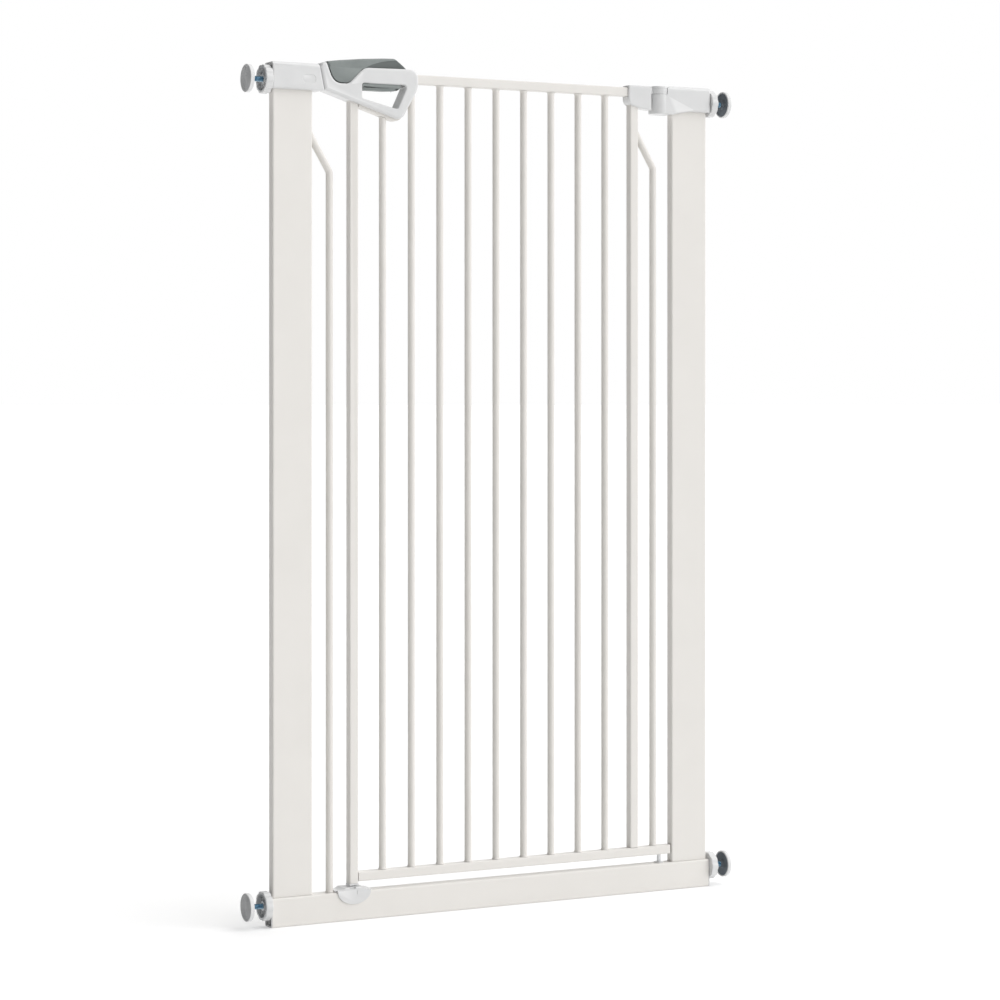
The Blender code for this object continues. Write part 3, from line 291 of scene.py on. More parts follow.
def carve(obj, *shapes, operation="DIFFERENCE"):
    """Cut shapes out of a piece, or join them to it, for good."""
    tools = []
    for bm in shapes:
        tool = link("tool", bm)
        modifier = obj.modifiers.new("carve", "BOOLEAN")
        modifier.operation = operation
        modifier.solver = "MANIFOLD"
        modifier.object = tool
        tools.append(tool)
    bpy.context.view_layer.update()
    graph = bpy.context.evaluated_depsgraph_get()
    carved = bpy.data.meshes.new_from_object(obj.evaluated_get(graph))
    obj.modifiers.clear()
    obj.data = carved
    for tool in tools:
        bpy.data.objects.remove(tool, do_unlink=True)
    return obj


def join(obj, *shapes):
    return carve(obj, *shapes, operation="UNION")


def flatten_faces(mesh):
    """Shade the faces that look along Y as flat, however they are divided."""
    normals = [corner.vector.copy() for corner in mesh.corner_normals]
    level = {}
    for polygon in mesh.polygons:
        if abs(polygon.normal.y) > 0.9998:
            for vertex in polygon.vertices:
                level[vertex] = Vector((0, math.copysign(1, polygon.normal.y), 0))
    for polygon in mesh.polygons:
        for vertex, corner in zip(polygon.vertices, polygon.loop_indices):
            if vertex in level and polygon.normal.dot(level[vertex]) > 0.83:
                normals[corner] = level[vertex]
    mesh.normals_split_custom_set(normals)


def finish_piece(obj, mat, body, replaces=(), angle=34, flat=False):
    """Smooth shading with crisp edges, a material, and the body the piece rides on."""
    mesh = obj.data
    mesh.materials.clear()
    mesh.materials.append(mat)
    mesh.shade_smooth()
    mesh.set_sharp_from_angle(angle=math.radians(angle))
    if flat:
        flatten_faces(mesh)
    else:
        normals = obj.modifiers.new("normals", "WEIGHTED_NORMAL")
        normals.keep_sharp = True
        normals.weight = 80
    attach(obj, body)
    if replaces:
        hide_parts(*replaces)
    return obj


# ================================================================ materials
class Paint:
    """Builds a material's node tree."""

    def __init__(self, name):
        self.mat = bpy.data.materials.new(name)
        self.mat.use_nodes = True
        self.tree = self.mat.node_tree
        self.shader = self.tree.nodes["Principled BSDF"]
        self.place = self.tree.nodes.new("ShaderNodeTexCoord").outputs["Object"]

    def node(self, kind, **inputs):
        made = self.tree.nodes.new(kind)
        for name, value in inputs.items():
            socket = made.inputs[name.replace("_", " ")]
            if isinstance(value, bpy.types.NodeSocket):
                self.tree.links.new(value, socket)
            else:
                socket.default_value = value
        return made

    def noise(self, scale, detail=3.0, roughness=0.5):
        made = self.node("ShaderNodeTexNoise", Vector=self.place, Scale=scale, Detail=detail,
                         Roughness=roughness)
        return made.outputs["Fac"]

    def span(self, value, low, high, start=0.0, end=1.0):
        """A value mapped from start..end to low..high."""
        made = self.node("ShaderNodeMapRange", Value=value)
        for name, number in (("From Min", start), ("From Max", end), ("To Min", low), ("To Max", high)):
            made.inputs[name].default_value = number
        return made.outputs["Result"]

    def mix(self, share, first, second):
        made = self.tree.nodes.new("ShaderNodeMix")
        made.data_type = "RGBA"
        for socket, value in ((made.inputs[0], share), (made.inputs[6], first), (made.inputs[7], second)):
            if isinstance(value, bpy.types.NodeSocket):
                self.tree.links.new(value, socket)
            elif isinstance(value, tuple):
                socket.default_value = (*value, 1.0)
            else:
                socket.default_value = value
        return made.outputs[2]

    def math(self, operation, first, second=0.5):
        made = self.tree.nodes.new("ShaderNodeMath")
        made.operation = operation
        for socket, value in zip(made.inputs, (first, second)):
            if isinstance(value, bpy.types.NodeSocket):
                self.tree.links.new(value, socket)
            else:
                socket.default_value = value
        return made.outputs[0]

    def bump(self, height, distance, strength=1.0, under=None):
        made = self.node("ShaderNodeBump", Height=height, Distance=distance, Strength=strength)
        if under:
            self.tree.links.new(under, made.inputs["Normal"])
        return made.outputs["Normal"]

    def set(self, **inputs):
        for name, value in inputs.items():
            socket = self.shader.inputs[name.replace("_", " ")]
            if isinstance(value, bpy.types.NodeSocket):
                self.tree.links.new(value, socket)
            else:
                socket.default_value = value
        return self.mat


def painted_edge_highlight(paint, low=0.52, high=0.60):
    """Painted highlight mask: 1 on sharp outer edges, 0 elsewhere."""
    geometry = paint.tree.nodes.new("ShaderNodeNewGeometry")
    return paint.span(geometry.outputs["Pointiness"], 0.0, 1.0, low, high)


def powder_coat():
    """Warm white powder coat: fine orange peel, slight clouding, and sharp edges painted lighter as a painted
    highlight.
    """
    p = Paint("powder_coat")
    cloud = p.span(p.noise(14.0, 4.0), 0.0, 1.0, 0.35, 0.65)
    speck = p.span(p.noise(2600.0, 2.0), 0.0, 1.0, 0.60, 0.78)
    base = p.mix(cloud, (0.700, 0.678, 0.645), (0.675, 0.653, 0.620))
    # sharp edges painted lighter: painted highlight
    edge_highlit = p.mix(p.math("MULTIPLY", painted_edge_highlight(p), 0.5), base, (0.76, 0.74, 0.71))
    colour = p.mix(p.math("MULTIPLY", speck, 0.10), edge_highlit, (0.60, 0.575, 0.54))
    peel = p.bump(p.noise(620.0, 2.0, 0.55), 0.00007, 0.55)
    fine = p.bump(p.noise(3200.0, 2.0), 0.000012, 0.5, peel)
    rough = p.span(p.noise(90.0, 3.0), 0.40, 0.52, 0.3, 0.7)
    return p.set(Base_Color=colour, Roughness=rough, Normal=fine, IOR=1.5, Specular_IOR_Level=0.42,
                 Coat_Weight=0.10, Coat_Roughness=0.30)


def moulded(name, light, dark, rough, grain, depth, edge_highlight_colour=(0.9, 0.9, 0.9)):
    """Moulded plastic: fine spark-eroded grain, faint flow marks, and sharp edges painted lighter as a
    painted highlight.
    """
    p = Paint(name)
    flow = p.span(p.noise(26.0, 5.0, 0.6), 0.0, 1.0, 0.38, 0.62)
    base = p.mix(flow, light, dark)
    # sharp edges painted lighter: painted highlight
    colour = p.mix(p.math("MULTIPLY", painted_edge_highlight(p), 0.35), base, edge_highlight_colour)
    grain_one = p.bump(p.noise(grain, 3.0, 0.6), depth, 0.6)
    grain_two = p.bump(p.noise(grain * 0.23, 2.0), depth * 2.2, 0.25, grain_one)
    roughness = p.span(p.noise(150.0, 3.0), rough - 0.04, rough + 0.07, 0.3, 0.7)
    return p.set(Base_Color=colour, Roughness=roughness, Normal=grain_two, IOR=1.49,
                 Specular_IOR_Level=0.45)


def rubber_skin(name, light, dark):
    """Soft rubber: matt, with a stipple and a little bloom."""
    p = Paint(name)
    bloom = p.span(p.noise(60.0, 5.0, 0.6), 0.0, 1.0, 0.35, 0.7)
    colour = p.mix(bloom, dark, light)
    stipple = p.bump(p.noise(1500.0, 3.0, 0.7), 0.00006, 0.7)
    rough = p.span(p.noise(200.0, 3.0), 0.72, 0.90, 0.3, 0.7)
    return p.set(Base_Color=colour, Roughness=rough, Normal=stipple, Specular_IOR_Level=0.3,
                 Sheen_Weight=0.12, Sheen_Roughness=0.5)


def zinc(name, light, dark, rough):
    """Zinc-plated steel with drawing marks and a bluish passivated tint."""
    p = Paint(name)
    patch = p.span(p.noise(160.0, 4.0, 0.6), 0.0, 1.0, 0.35, 0.65)
    colour = p.mix(patch, light, dark)
    marks = p.bump(p.noise(1800.0, 3.0, 0.6), 0.00002, 0.5)
    roughness = p.span(p.noise(420.0, 3.0), rough - 0.06, rough + 0.10, 0.3, 0.7)
    return p.set(Base_Color=colour, Metallic=1.0, Roughness=roughness, Normal=marks)


coat = powder_coat()
# the last colour given to each moulding is its painted edge highlight
white = moulded("white_moulding", (0.655, 0.657, 0.657), (0.630, 0.633, 0.634), 0.34, 1700.0, 0.00003)
grip = moulded("grey_grip", (0.215, 0.238, 0.232), (0.182, 0.203, 0.198), 0.42, 1300.0, 0.00005,
               (0.34, 0.37, 0.36))
# a darker copy of the grey grip: painted shade for the downward faces of the scooped facets
shaded_grip = moulded("shaded_grip", (0.130, 0.146, 0.142), (0.112, 0.126, 0.122), 0.50, 1300.0, 0.00006,
                     (0.20, 0.22, 0.21))
plug_plastic = moulded("plug_plastic", (0.62, 0.62, 0.62), (0.56, 0.56, 0.56), 0.48, 1500.0, 0.00004,
                       (0.62, 0.62, 0.62))
rubber = rubber_skin("pad_rubber", (0.46, 0.465, 0.47), (0.40, 0.405, 0.41))
# a darker, bluish copy of the pad rubber: painted shade on the pads' inner face
shaded_core_rubber = rubber_skin("shaded_core_rubber", (0.150, 0.170, 0.190), (0.115, 0.132, 0.150))
blue_zinc = zinc("blue_zinc", (0.32, 0.48, 0.60), (0.17, 0.31, 0.42), 0.26)
steel = zinc("plain_zinc", (0.72, 0.73, 0.74), (0.58, 0.59, 0.60), 0.30)


# ================================================================ steel frame and door
def node_box(node):
    low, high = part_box(node)
    return Vector(low), Vector(high)


def upright_tube(node, body, corner, cuts=()):
    low, high = node_box(node)
    x = (low.x + high.x) / 2
    obj = link(f"{node}_tube", square_tube([(x, low.z), (x, high.z)], high.x - low.x, high.y - low.y, corner))
    if cuts:
        carve(obj, *cuts)
    return finish_piece(obj, coat, body, [node])


def level_tube(node, body, corner, cuts=()):
    low, high = node_box(node)
    z = (low.z + high.z) / 2
    obj = link(f"{node}_tube", square_tube([(low.x, z), (high.x, z)], high.z - low.z, high.y - low.y, corner))
    if cuts:
        carve(obj, *cuts)
    return finish_piece(obj, coat, body, [node])


def weld_profile(length, radius):
    """A straight bar with the small painted weld collar at both ends."""
    foot = [(0, 0), (0, radius + 0.0010), (0.0004, radius + 0.00095), (0.0009, radius + 0.00065),
            (0.0015, radius + 0.00025), (0.0023, radius + 0.00005), (0.0032, radius)]
    return foot + [(length - along, r) for along, r in reversed(foot)]


def make_posts():
    for side, name in ((-1, "left_post"), (1, "right_post")):
        middle = side * (POST_IN + POST_OUT) / 2
        cuts = [rod(SPINDLE_BORE, (side * (POST_OUT + 0.004), 0, SPINDLE_HIGH),
                    (side * (POST_OUT - 0.004), 0, SPINDLE_HIGH))]
        cuts += [rod(SCREW_BORE, (x, 0, z), (x, 0.012, z))
                 for x, z in CASING_SCREWS[side] if abs(x) > POST_IN]
        upright_tube(name, "frame", 0.0027, cuts)
        low = node_box(name)[0]
        seam = square_tube([(middle, low.z - 0.0001), (middle, low.z + 0.0007)], 0.0630 + 0.0008,
                           0.0150 + 0.0010, 0.0030, 0.0016)
        finish_piece(link(f"{name}_weld", seam), coat, "frame")


def bent_rod(name, node, body, foot, knee, end_x, face_x):
    """Side bar with a smooth bend, trimmed flush to the upright it is welded to."""
    run = foot[0] - end_x
    corners = [(foot[0], foot[1], 0.0), (foot[0], knee, 0.0120), (end_x, knee + run / BEND, 0.0)]
    path = fillet(corners, closed=False, steps=12)
    start = [Vector((foot[0], foot[1] + rise)) for rise in (0.0, 0.0004, 0.0009, 0.0015, 0.0023, 0.0032)]
    swell = [1.19, 1.18, 1.12, 1.05, 1.01, 1.0] + [1.0] * (len(path) - 1)
    obj = link(name, loft(sweep_rings(start + path[1:], round_section(BAR_RADIUS), swell)))
    carve(obj, block((face_x - 0.05, -0.02, 1.0), (face_x + GAP, 0.02, 1.24)))
    finish_piece(obj, coat, body, [node])
    meet = knee + (foot[0] - face_x) / BEND
    rim = []
    for i in range(32):
        angle = 2 * math.pi * i / 32
        rim.append((math.cos(angle), math.sin(angle)))
    reach = BAR_RADIUS * math.hypot(1, BEND) / BEND
    rings = []
    for out, grow in ((GAP * 0.6, 1.10), (0.0008, 1.09), (0.0015, 1.04), (0.0021, 0.99)):
        shift = -out / BEND
        rings.append([(face_x + out, s * BAR_RADIUS * grow, meet + shift + c * reach * grow) for c, s in rim])
    finish_piece(link(f"{name}_weld", loft(rings)), coat, body)


def make_steel():
    make_posts()
    level_tube("bottom_rail", "frame", 0.0028,
               [rod(0.0055, (HINGE_X, 0, 0.021), (HINGE_X, 0, 0.048))])
    upright_tube("left_stile", "door", 0.0019,
                 [block((LATCH_X - 0.0018, -0.02, 1.2312), (LATCH_X + 0.0018, 0.02, 1.2408))])
    upright_tube("right_stile", "door", 0.0019)
    level_tube("door_top_rail", "door", 0.0019)
    level_tube("door_bottom_rail", "door", 0.0019,
               [rod(PIN_BORE, (HINGE_X, 0, 0.050), (HINGE_X, 0, 0.0623))])
    for number in range(1, 10):
        low, high = node_box(f"door_bar_{number}")
        x = (low.x + high.x) / 2
        top = high.z
        profile = weld_profile(top - low.z, BAR_RADIUS)
        obj = link(f"bar_{number}", turned(profile, (x, 0, low.z), (0, 0, 1), 32))
        if number == 1:
            tilt = [(x - 0.02, strap_under(x - 0.02), 0), (x + 0.02, strap_under(x + 0.02), 0),
                    (x + 0.02, top + 0.02, 0), (x - 0.02, top + 0.02, 0)]
            carve(obj, soft_prism(tilt, -0.02, 0.02))
        finish_piece(obj, coat, "door", [f"door_bar_{number}"])
    bent_rod("fixed_side_bar", "left_fixed_bar", "frame", (-0.2752, RAIL_TOP), 1.0930, -0.3111, -POST_IN)
    bent_rod("door_side_bar", "door_bent_bar", "door", (0.2752, 0.0696), 1.1190, 0.2393, 0.24525)


def shell_skin(name, outline, half, face, edge, rounds=6):
    """Half of a two-part moulding, from its rounded outer face to the middle plane."""
    skin = soft_prism(outline, face * half, face * GAP / 2, edge, rounds=rounds, steps=10)
    return link(f"{name}_skin", skin)


def bolt_room(start, end):
    """The hollow that the latch bolt slides in."""
    return block((start, -BOLT_ROOM_HALF, BOLT_ROOM_LOW), (end, BOLT_ROOM_HALF, BOLT_ROOM_HIGH))


# ================================================================ outlines of the handle
def from_latch(corners):
    return [(LATCH_X + x, DOOR_TOP + z, r) for x, z, r in corners]


HANDLE = from_latch([
    (-0.0573, 0.0101, 0.0066), (-0.0458, 0.0101, 0.0035), (-0.0343, -0.0192, 0.0180),
    (-0.0114, -0.0192, 0.0130), (0.0136, 0.0058, 0.0220), (0.1026, 0.0075, 0.0140),
    (0.1024, -0.0214, 0.0300), (0.0748, -0.0698, 0.0135), (-0.0490, -0.0305, 0.0030)])
WINDOW = from_latch([
    (0.0110, -0.0172, 0.0030), (0.0845, -0.0172, 0.0040), (0.0679, -0.0529, 0.0040),
    (0.0110, -0.0395, 0.0035)])
CAP = from_latch([
    (-0.0412, 0.0010, 0.0), (-0.0447, 0.0118, 0.0010), (-0.0240, 0.0146, 0.0200),
    (0.0134, 0.0184, 0.0500), (0.0480, 0.0208, 0.0500), (0.0650, 0.0212, 0.0100),
    (0.0850, 0.0062, 0.0030), (0.0850, 0.0010, 0.0)])
SKIRT = from_latch([
    (-0.0418, 0.0040, 0.0), (-0.0334, -0.0182, 0.0168), (-0.0095, -0.0182, 0.0120),
    (0.0127, 0.0040, 0.0)])
TRIGGER = from_latch([
    (0.0115, -0.0205, 0.0010), (0.0138, -0.0268, 0.0060), (0.0500, -0.0268, 0.0500),
    (0.0712, -0.0252, 0.0050), (0.0750, -0.0205, 0.0015)])
CREASE = [(0.0150, 0.0020), (0.0177, 0.0052), (0.0197, 0.0071), (0.0257, 0.0099), (0.0338, 0.0125),
          (0.0432, 0.0151), (0.0527, 0.0169), (0.0622, 0.0180), (0.0700, 0.0188)]
STRAP_THICK = 0.0060
STRAP_RISE = 0.0360


def strap_height(x):
    low = HANDLE[-1]
    tip = HANDLE[-2]
    return low[1] - 0.0010 + (x - low[0]) * (tip[1] - low[1]) / (tip[0] - low[0])


def strap_under(x):
    slope = (strap_height(x + 0.01) - strap_height(x)) / 0.01
    return strap_height(x) - STRAP_THICK / 2 * math.hypot(1, slope) - GAP


def handle_left(z):
    top = HANDLE[0]
    low = HANDLE[-1]
    return low[0] + (top[0] - low[0]) * (z - low[1]) / (top[1] - low[1])


def bar_centre(number):
    low, high = node_box(f"door_bar_{number}")
    return (low.x + high.x) / 2


def strap_path():
    start = LATCH_X + STILE / 2 - 0.003
    bend = HANDLE[-2][0] - 0.0034
    end = bar_centre(2) - BAR_RADIUS + 0.001
    corners = [(start, strap_height(start), 0.0), (bend, strap_height(bend), 0.0120),
               (end, strap_height(bend) + STRAP_RISE, 0.0)]
    return fillet(corners, closed=False, steps=12)


def make_strap():
    obj = link("handle_strap_bar", loft(sweep_rings(strap_path(), box_section(STRAP_THICK, STILE, 0.0018))))
    carve(obj, block((LATCH_X, -STILE, 1.0), (LATCH_X + STILE / 2 + GAP, STILE, DOOR_TOP)),
          rod(BAR_RADIUS + GAP, (bar_centre(2), 0, 1.0), (bar_centre(2), 0, DOOR_TOP)))
    finish_piece(obj, coat, "door", ["handle_strap"])


def screw(name, x, z, head, body):
    """A pan-head cross-recess screw seen from the back."""
    radius = SCREW_HEAD
    profile = [(0, 0), (0, radius), (0.0008, radius), (0.0013, radius * 0.93), (0.0017, radius * 0.72),
               (0.0019, radius * 0.4), (0.0019, 0)]
    obj = link(name, turned(profile, (x, head, z), (0, 1, 0), 32))
    join(obj, rod(0.0017, (x, head - 0.0070, z), (x, head + 0.0004, z), 20))
    slot = 0.00042
    arm = radius * 0.58
    quarter = [(slot, slot), (arm, slot * 0.8), (arm, -slot * 0.8)]
    cross = []
    for step in range(4):
        turn = Matrix.Rotation(-math.pi / 2 * step, 2)
        cross += [(x + p.x, z + p.y, 0) for p in (turn @ Vector(q) for q in quarter)]
    carve(obj, soft_prism(cross, head + 0.0007, head + 0.0030))
    return finish_piece(obj, steel, body)


def screw_recess(x, z, half):
    return [rod(SCREW_BORE, (x, half - 0.0110, z), (x, half + 0.002, z), 24),
            rod(SCREW_HEAD + 0.0004, (x, half - 0.0022, z), (x, half + 0.002, z), 32)]


HANDLE_SCREWS = [(LATCH_X - 0.0237, DOOR_TOP - 0.0290), (LATCH_X + 0.0955, DOOR_TOP - 0.0045),
                 (LATCH_X + 0.0682, DOOR_TOP - 0.0614)]


def make_handle():
    """Two shells with a rounded rim, a rounded finger window and room for the slide and trigger."""
    half = STILE / 2 + GAP
    window_top = WINDOW[0][1]
    slide_half = HANDLE_HALF - HANDLE_SKIN
    bar = bar_centre(2)
    for name, face in (("handle_front_shell", -1), ("handle_back_shell", 1)):
        outer = face * HANDLE_HALF
        obj = shell_skin(name, HANDLE, HANDLE_HALF, face, (0.0042, 0.0034), rounds=7)
        cuts = [soft_prism(WINDOW, outer - face * 0.0030, -face * 0.002),
                soft_prism(WINDOW, outer, outer - face * 0.0031, (0.0022, 0.0030), flare=-1.0, rounds=6),
                block((min(x for x, _, _ in CAP) - 0.001, -slide_half, DOOR_TOP),
                      (max(x for x, _, _ in CAP) + 0.010, slide_half, DOOR_TOP + 0.03)),
                block((min(x for x, _, _ in SKIRT) - 0.001, -slide_half, HANDLE[2][1]),
                      (max(x for x, _, _ in SKIRT) + 0.010, slide_half, DOOR_TOP + 0.03)),
                block((LATCH_X - half, -half, 1.0), (LATCH_X + half, half, DOOR_TOP + GAP)),
                block((LATCH_X, -half, DOOR_TOP - STILE - GAP), (LATCH_X + 0.15, half, DOOR_TOP + GAP)),
                rod(BAR_RADIUS + GAP, (bar, 0, 1.0), (bar, 0, DOOR_TOP - STILE)),
                bolt_room(handle_left(BOLT_Z) - 0.02, LATCH_X),
                block((handle_left(BOLT_Z) + 0.004, -BOLT_ROOM_HALF, BOLT_ROOM_HIGH),
                      (LATCH_X, BOLT_ROOM_HALF, DOOR_TOP + 0.001)),
                block((TRIGGER[0][0] - GAP, -0.0095, window_top - 0.002),
                      (WINDOW[1][0] - 0.0010, 0.0095, DOOR_TOP)),
                block((LATCH_X - 0.0055, -0.0095, 1.2292), (WINDOW[1][0] - 0.0010, 0.0095, DOOR_TOP + 0.001))]
        hollow = box_section(STRAP_THICK + 2 * GAP, STILE + 2 * GAP, 0.001)
        cuts.append(loft(sweep_rings(strap_path(), hollow)))
        if face > 0:
            for x, z in HANDLE_SCREWS:
                cuts += screw_recess(x, z, HANDLE_HALF)
        carve(obj, *cuts)
        finish_piece(obj, white, "door", [name])
    for number, (x, z) in enumerate(HANDLE_SCREWS):
        piece = screw(f"handle_screw_{number + 1}", x, z, HANDLE_HALF - 0.0019, "door")
        if number == 0:
            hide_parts("handle_screw")


def make_slide():
    """Grey thumb slide: rounded cap with a scooped facet on each side, skirts, and a lug to the bolt."""
    cap_half = 0.0109
    obj = link("thumb_slide_grip", soft_prism(CAP, -cap_half, cap_half, (0.0030, 0.0026), rounds=7, steps=10,
                                              both=True))
    join(obj, soft_prism(SKIRT, -0.0111, -0.0095, (0.0006, 0.0005), rounds=3),
         soft_prism(SKIRT, 0.0111, 0.0095, (0.0006, 0.0005), rounds=3),
         block((LATCH_X - 0.0382, -0.0040, 1.2373), (LATCH_X - 0.0342, 0.0040, DOOR_TOP + 0.0015)),
         block((LATCH_X - 0.0372, -0.0020, 1.2330), (LATCH_X - 0.0352, 0.0020, 1.2380)))
    crease = [(LATCH_X + x, DOOR_TOP + z) for x, z in CREASE]
    for face in (-1, 1):
        rings = []
        for depth, slide in ((cap_half + 0.0012, 0.0), (cap_half - 0.0007, 0.0), (cap_half - 0.0040, 0.0140)):
            edge = [(x + slide * 0.35, face * depth, z - slide) for x, z in crease]
            edge += [(LATCH_X + 0.1000, face * depth, crease[-1][1] - slide - 0.001),
                     (LATCH_X + 0.1000, face * depth, DOOR_TOP - 0.020),
                     (LATCH_X + CREASE[0][0] + slide * 0.35, face * depth, DOOR_TOP - 0.020)]
            rings.append(edge)
        carve(obj, loft(rings))
    finish_piece(obj, grip, "latch", ["thumb_slide"])
    # the downward-facing faces of the scoops get the darker copy of the grey: painted shade
    obj.data.materials.append(shaded_grip)
    for polygon in obj.data.polygons:
        if abs(polygon.normal.y) > 0.8 and -0.6 < polygon.normal.z < -0.1:
            polygon.material_index = 1


def make_trigger():
    """Grey squeeze trigger: rounded finger bar with the two cheeks that lift the rod."""
    far = 0.0092
    obj = link("squeeze_trigger_grip", soft_prism(TRIGGER, -far, far, (0.0022, 0.0022), rounds=6, both=True))
    riser = TRIGGER[0][0] + 0.0010
    right = TRIGGER[-1][0] - 0.0010
    for face in (-1, 1):
        near, out = sorted((face * 0.0073, face * far))
        join(obj, block((LATCH_X - 0.0040, near, 1.2295), (right, out, 1.2360)),
             block((riser, near, 1.2205), (right, out, 1.2305)))
    carve(obj, rod(0.0018, (LATCH_X, -0.02, 1.2330), (LATCH_X, 0.02, 1.2330), 24))
    finish_piece(obj, grip, "lock", ["squeeze_trigger"])


# ================================================================ casings and hinge
def casing_room(side):
    near = side * (POST_IN - GAP)
    far = side * (POST_OUT + GAP)
    half = 0.0075 + GAP
    return block((min(near, far), -half, 1.15), (max(near, far), half, 1.2413))


def yz_prism(points, start, end):
    """A YZ outline of rounded corners (y, z, radius) carried along X."""
    outline = fillet(anticlockwise(points), steps=8)
    return loft([[(start, p.x, p.y) for p in outline], [(end, p.x, p.y) for p in outline]])


def yz_box(half, top, low, top_corner, low_corner):
    """Corners of an upright YZ rectangle."""
    return [(-half, top, top_corner), (half, top, top_corner),
            (half, low, low_corner), (-half, low, low_corner)]


CASING_SCREWS = {-1: [(-POST_IN - 0.02835, CASING_UNDER + 0.0056), (-POST_IN + 0.0030, 1.2400)],
                 1: [(POST_IN + 0.0315, CASING_UNDER + 0.0050), (POST_OUT - 0.0070, 1.2375)]}


def make_left_casing():
    slant_low = handle_left(CASING_UNDER) - LATCH_SLIT
    slant_top = handle_left(CASING_TOP) - LATCH_SLIT
    outline = [(-CASING_OUT, CASING_TOP, 0.0020), (-CASING_OUT, CASING_UNDER, 0.0020),
               (slant_low, CASING_UNDER, 0.0030), (slant_top, CASING_TOP, 0.0060)]
    section = yz_box(CASING_HALF, CASING_TOP, CASING_UNDER, 0.0062, 0.0032)
    end_pocket = yz_box(CASING_HALF - CASING_WALL, CASING_TOP - CASING_WALL, CASING_UNDER + CASING_WALL,
                        0.0045, 0.0025)
    mark = [(-0.3245, 1.2325, 0.0064), (-0.3245, 1.2195, 0.0064), (-0.3030, 1.2195, 0.0064),
            (-0.3030, 1.2325, 0.0064)]
    for name, face in (("left_casing_front", -1), ("left_casing_back", 1)):
        outer = face * CASING_HALF
        obj = shell_skin(name, outline, CASING_HALF, face, (0.0028, 0.0024))
        carve(obj, yz_prism(section, -0.40, -0.25), operation="INTERSECT")
        cuts = [casing_room(-1), yz_prism(end_pocket, -0.40, -CASING_OUT + 0.0023),
                soft_prism(mark, outer - face * 0.00045, outer + face * 0.001, (0.0009, 0.0004), rounds=4,
                           steps=12),
                rod(SPINDLE_BORE, (-0.40, 0, SPINDLE_HIGH), (-0.362, 0, SPINDLE_HIGH)),
                bolt_room(handle_left(BOLT_Z) - LATCH_SLIT - 0.0115, -0.28)]
        if face > 0:
            for x, z in CASING_SCREWS[-1]:
                cuts += screw_recess(x, z, CASING_HALF)
        carve(obj, *cuts)
        finish_piece(obj, white, "frame", [name], flat=True)


def knuckle(low, high, edge_low, edge_high, grooves=()):
    """Turned hinge knuckle with rounded rims and fine grooves."""
    profile = [(low, 0)]
    profile += [(low + edge_low * d, KNUCKLE_RADIUS - edge_low * a) for a, d in rounding(5)]
    for z in grooves:
        profile += [(z - 0.0004, KNUCKLE_RADIUS), (z - 0.0001, KNUCKLE_RADIUS - 0.0003),
                    (z + 0.0001, KNUCKLE_RADIUS - 0.0003), (z + 0.0004, KNUCKLE_RADIUS)]
    profile += [(high - edge_high * a, KNUCKLE_RADIUS - edge_high * d) for a, d in rounding(5)]
    profile.append((high, 0))
    return turned(profile, (HINGE_X, 0, 0), (0, 0, 1), 64)


def make_right_casing():
    high = KNUCKLE_UNDER + 0.0060
    split = POST_IN - 0.0012
    outline = [(CASING_OUT, HINGE_CASING_TOP, 0.0020), (CASING_OUT, high, 0.0020),
               (POST_IN + 0.0300, high, 0.0600), (POST_IN - 0.0020, KNUCKLE_UNDER, 0.0300),
               (HINGE_X, KNUCKLE_UNDER, 0.0),
               (HINGE_X, HINGE_CASING_TOP, 0.0)]
    section = yz_box(CASING_HALF, HINGE_CASING_TOP, KNUCKLE_UNDER, 0.0056, 0.0022)
    end_pocket = yz_box(CASING_HALF - CASING_WALL, HINGE_CASING_TOP - CASING_WALL, high + CASING_WALL,
                        0.0042, 0.0020)
    for name, face in (("right_casing_front", -1), ("right_casing_back", 1)):
        obj = shell_skin(name, outline, CASING_HALF, face, (0.0028, 0.0024))
        if face > 0:
            carve(obj, block((HINGE_X - 0.01, -0.001, 1.19), (split + GAP, 0.03, 1.26)))
        else:
            bridge = yz_box(CASING_HALF, HINGE_CASING_TOP, KNUCKLE_UNDER, 0.0056, 0.0025)
            join(obj, yz_prism(bridge, HINGE_X + 0.0002, split))
        carve(obj, yz_prism(section, HINGE_X - 0.03, 0.40), operation="INTERSECT")
        if face < 0:
            join(obj, knuckle(KNUCKLE_UNDER, KNUCKLE_SPLIT, 0.0018, 0.0006))
            carve(obj, rod(KNUCKLE_RADIUS + 0.0010, (HINGE_X, 0, KNUCKLE_SPLIT), (HINGE_X, 0, 1.26), 64),
                  rod(PIN_BORE, (HINGE_X, 0, KNUCKLE_UNDER + 0.003), (HINGE_X, 0, KNUCKLE_SPLIT + 0.01)))
        cuts = [casing_room(1), yz_prism(end_pocket, CASING_OUT - 0.0023, 0.40),
                rod(SPINDLE_BORE, (0.362, 0, SPINDLE_HIGH), (0.40, 0, SPINDLE_HIGH))]
        if face > 0:
            for x, z in CASING_SCREWS[1]:
                cuts += screw_recess(x, z, CASING_HALF)
        carve(obj, *cuts)
        finish_piece(obj, white, "frame", [name], flat=True)
    for side, word in ((-1, "left"), (1, "right")):
        for number, (x, z) in enumerate(CASING_SCREWS[side]):
            piece = screw(f"{word}_casing_screw_{number + 1}", x, z, CASING_HALF - 0.0019, "frame")
            if number == 0:
                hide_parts(f"casing_screw_{word}")


BRACKET = [(HINGE_X + x, DOOR_TOP + z, r) for x, z, r in (
    (-0.0597, 0.0035, 0.0025), (-0.0597, -0.0262, 0.0110), (-0.0420, -0.0306, 0.0200),
    (-0.0182, -0.0336, 0.0010), (-0.0182, 0.0035, 0.0010))]
BRACKET_SCREWS = [(HINGE_X - 0.0290, DOOR_TOP - 0.0100), (HINGE_X - 0.0290, DOOR_TOP - 0.0270)]


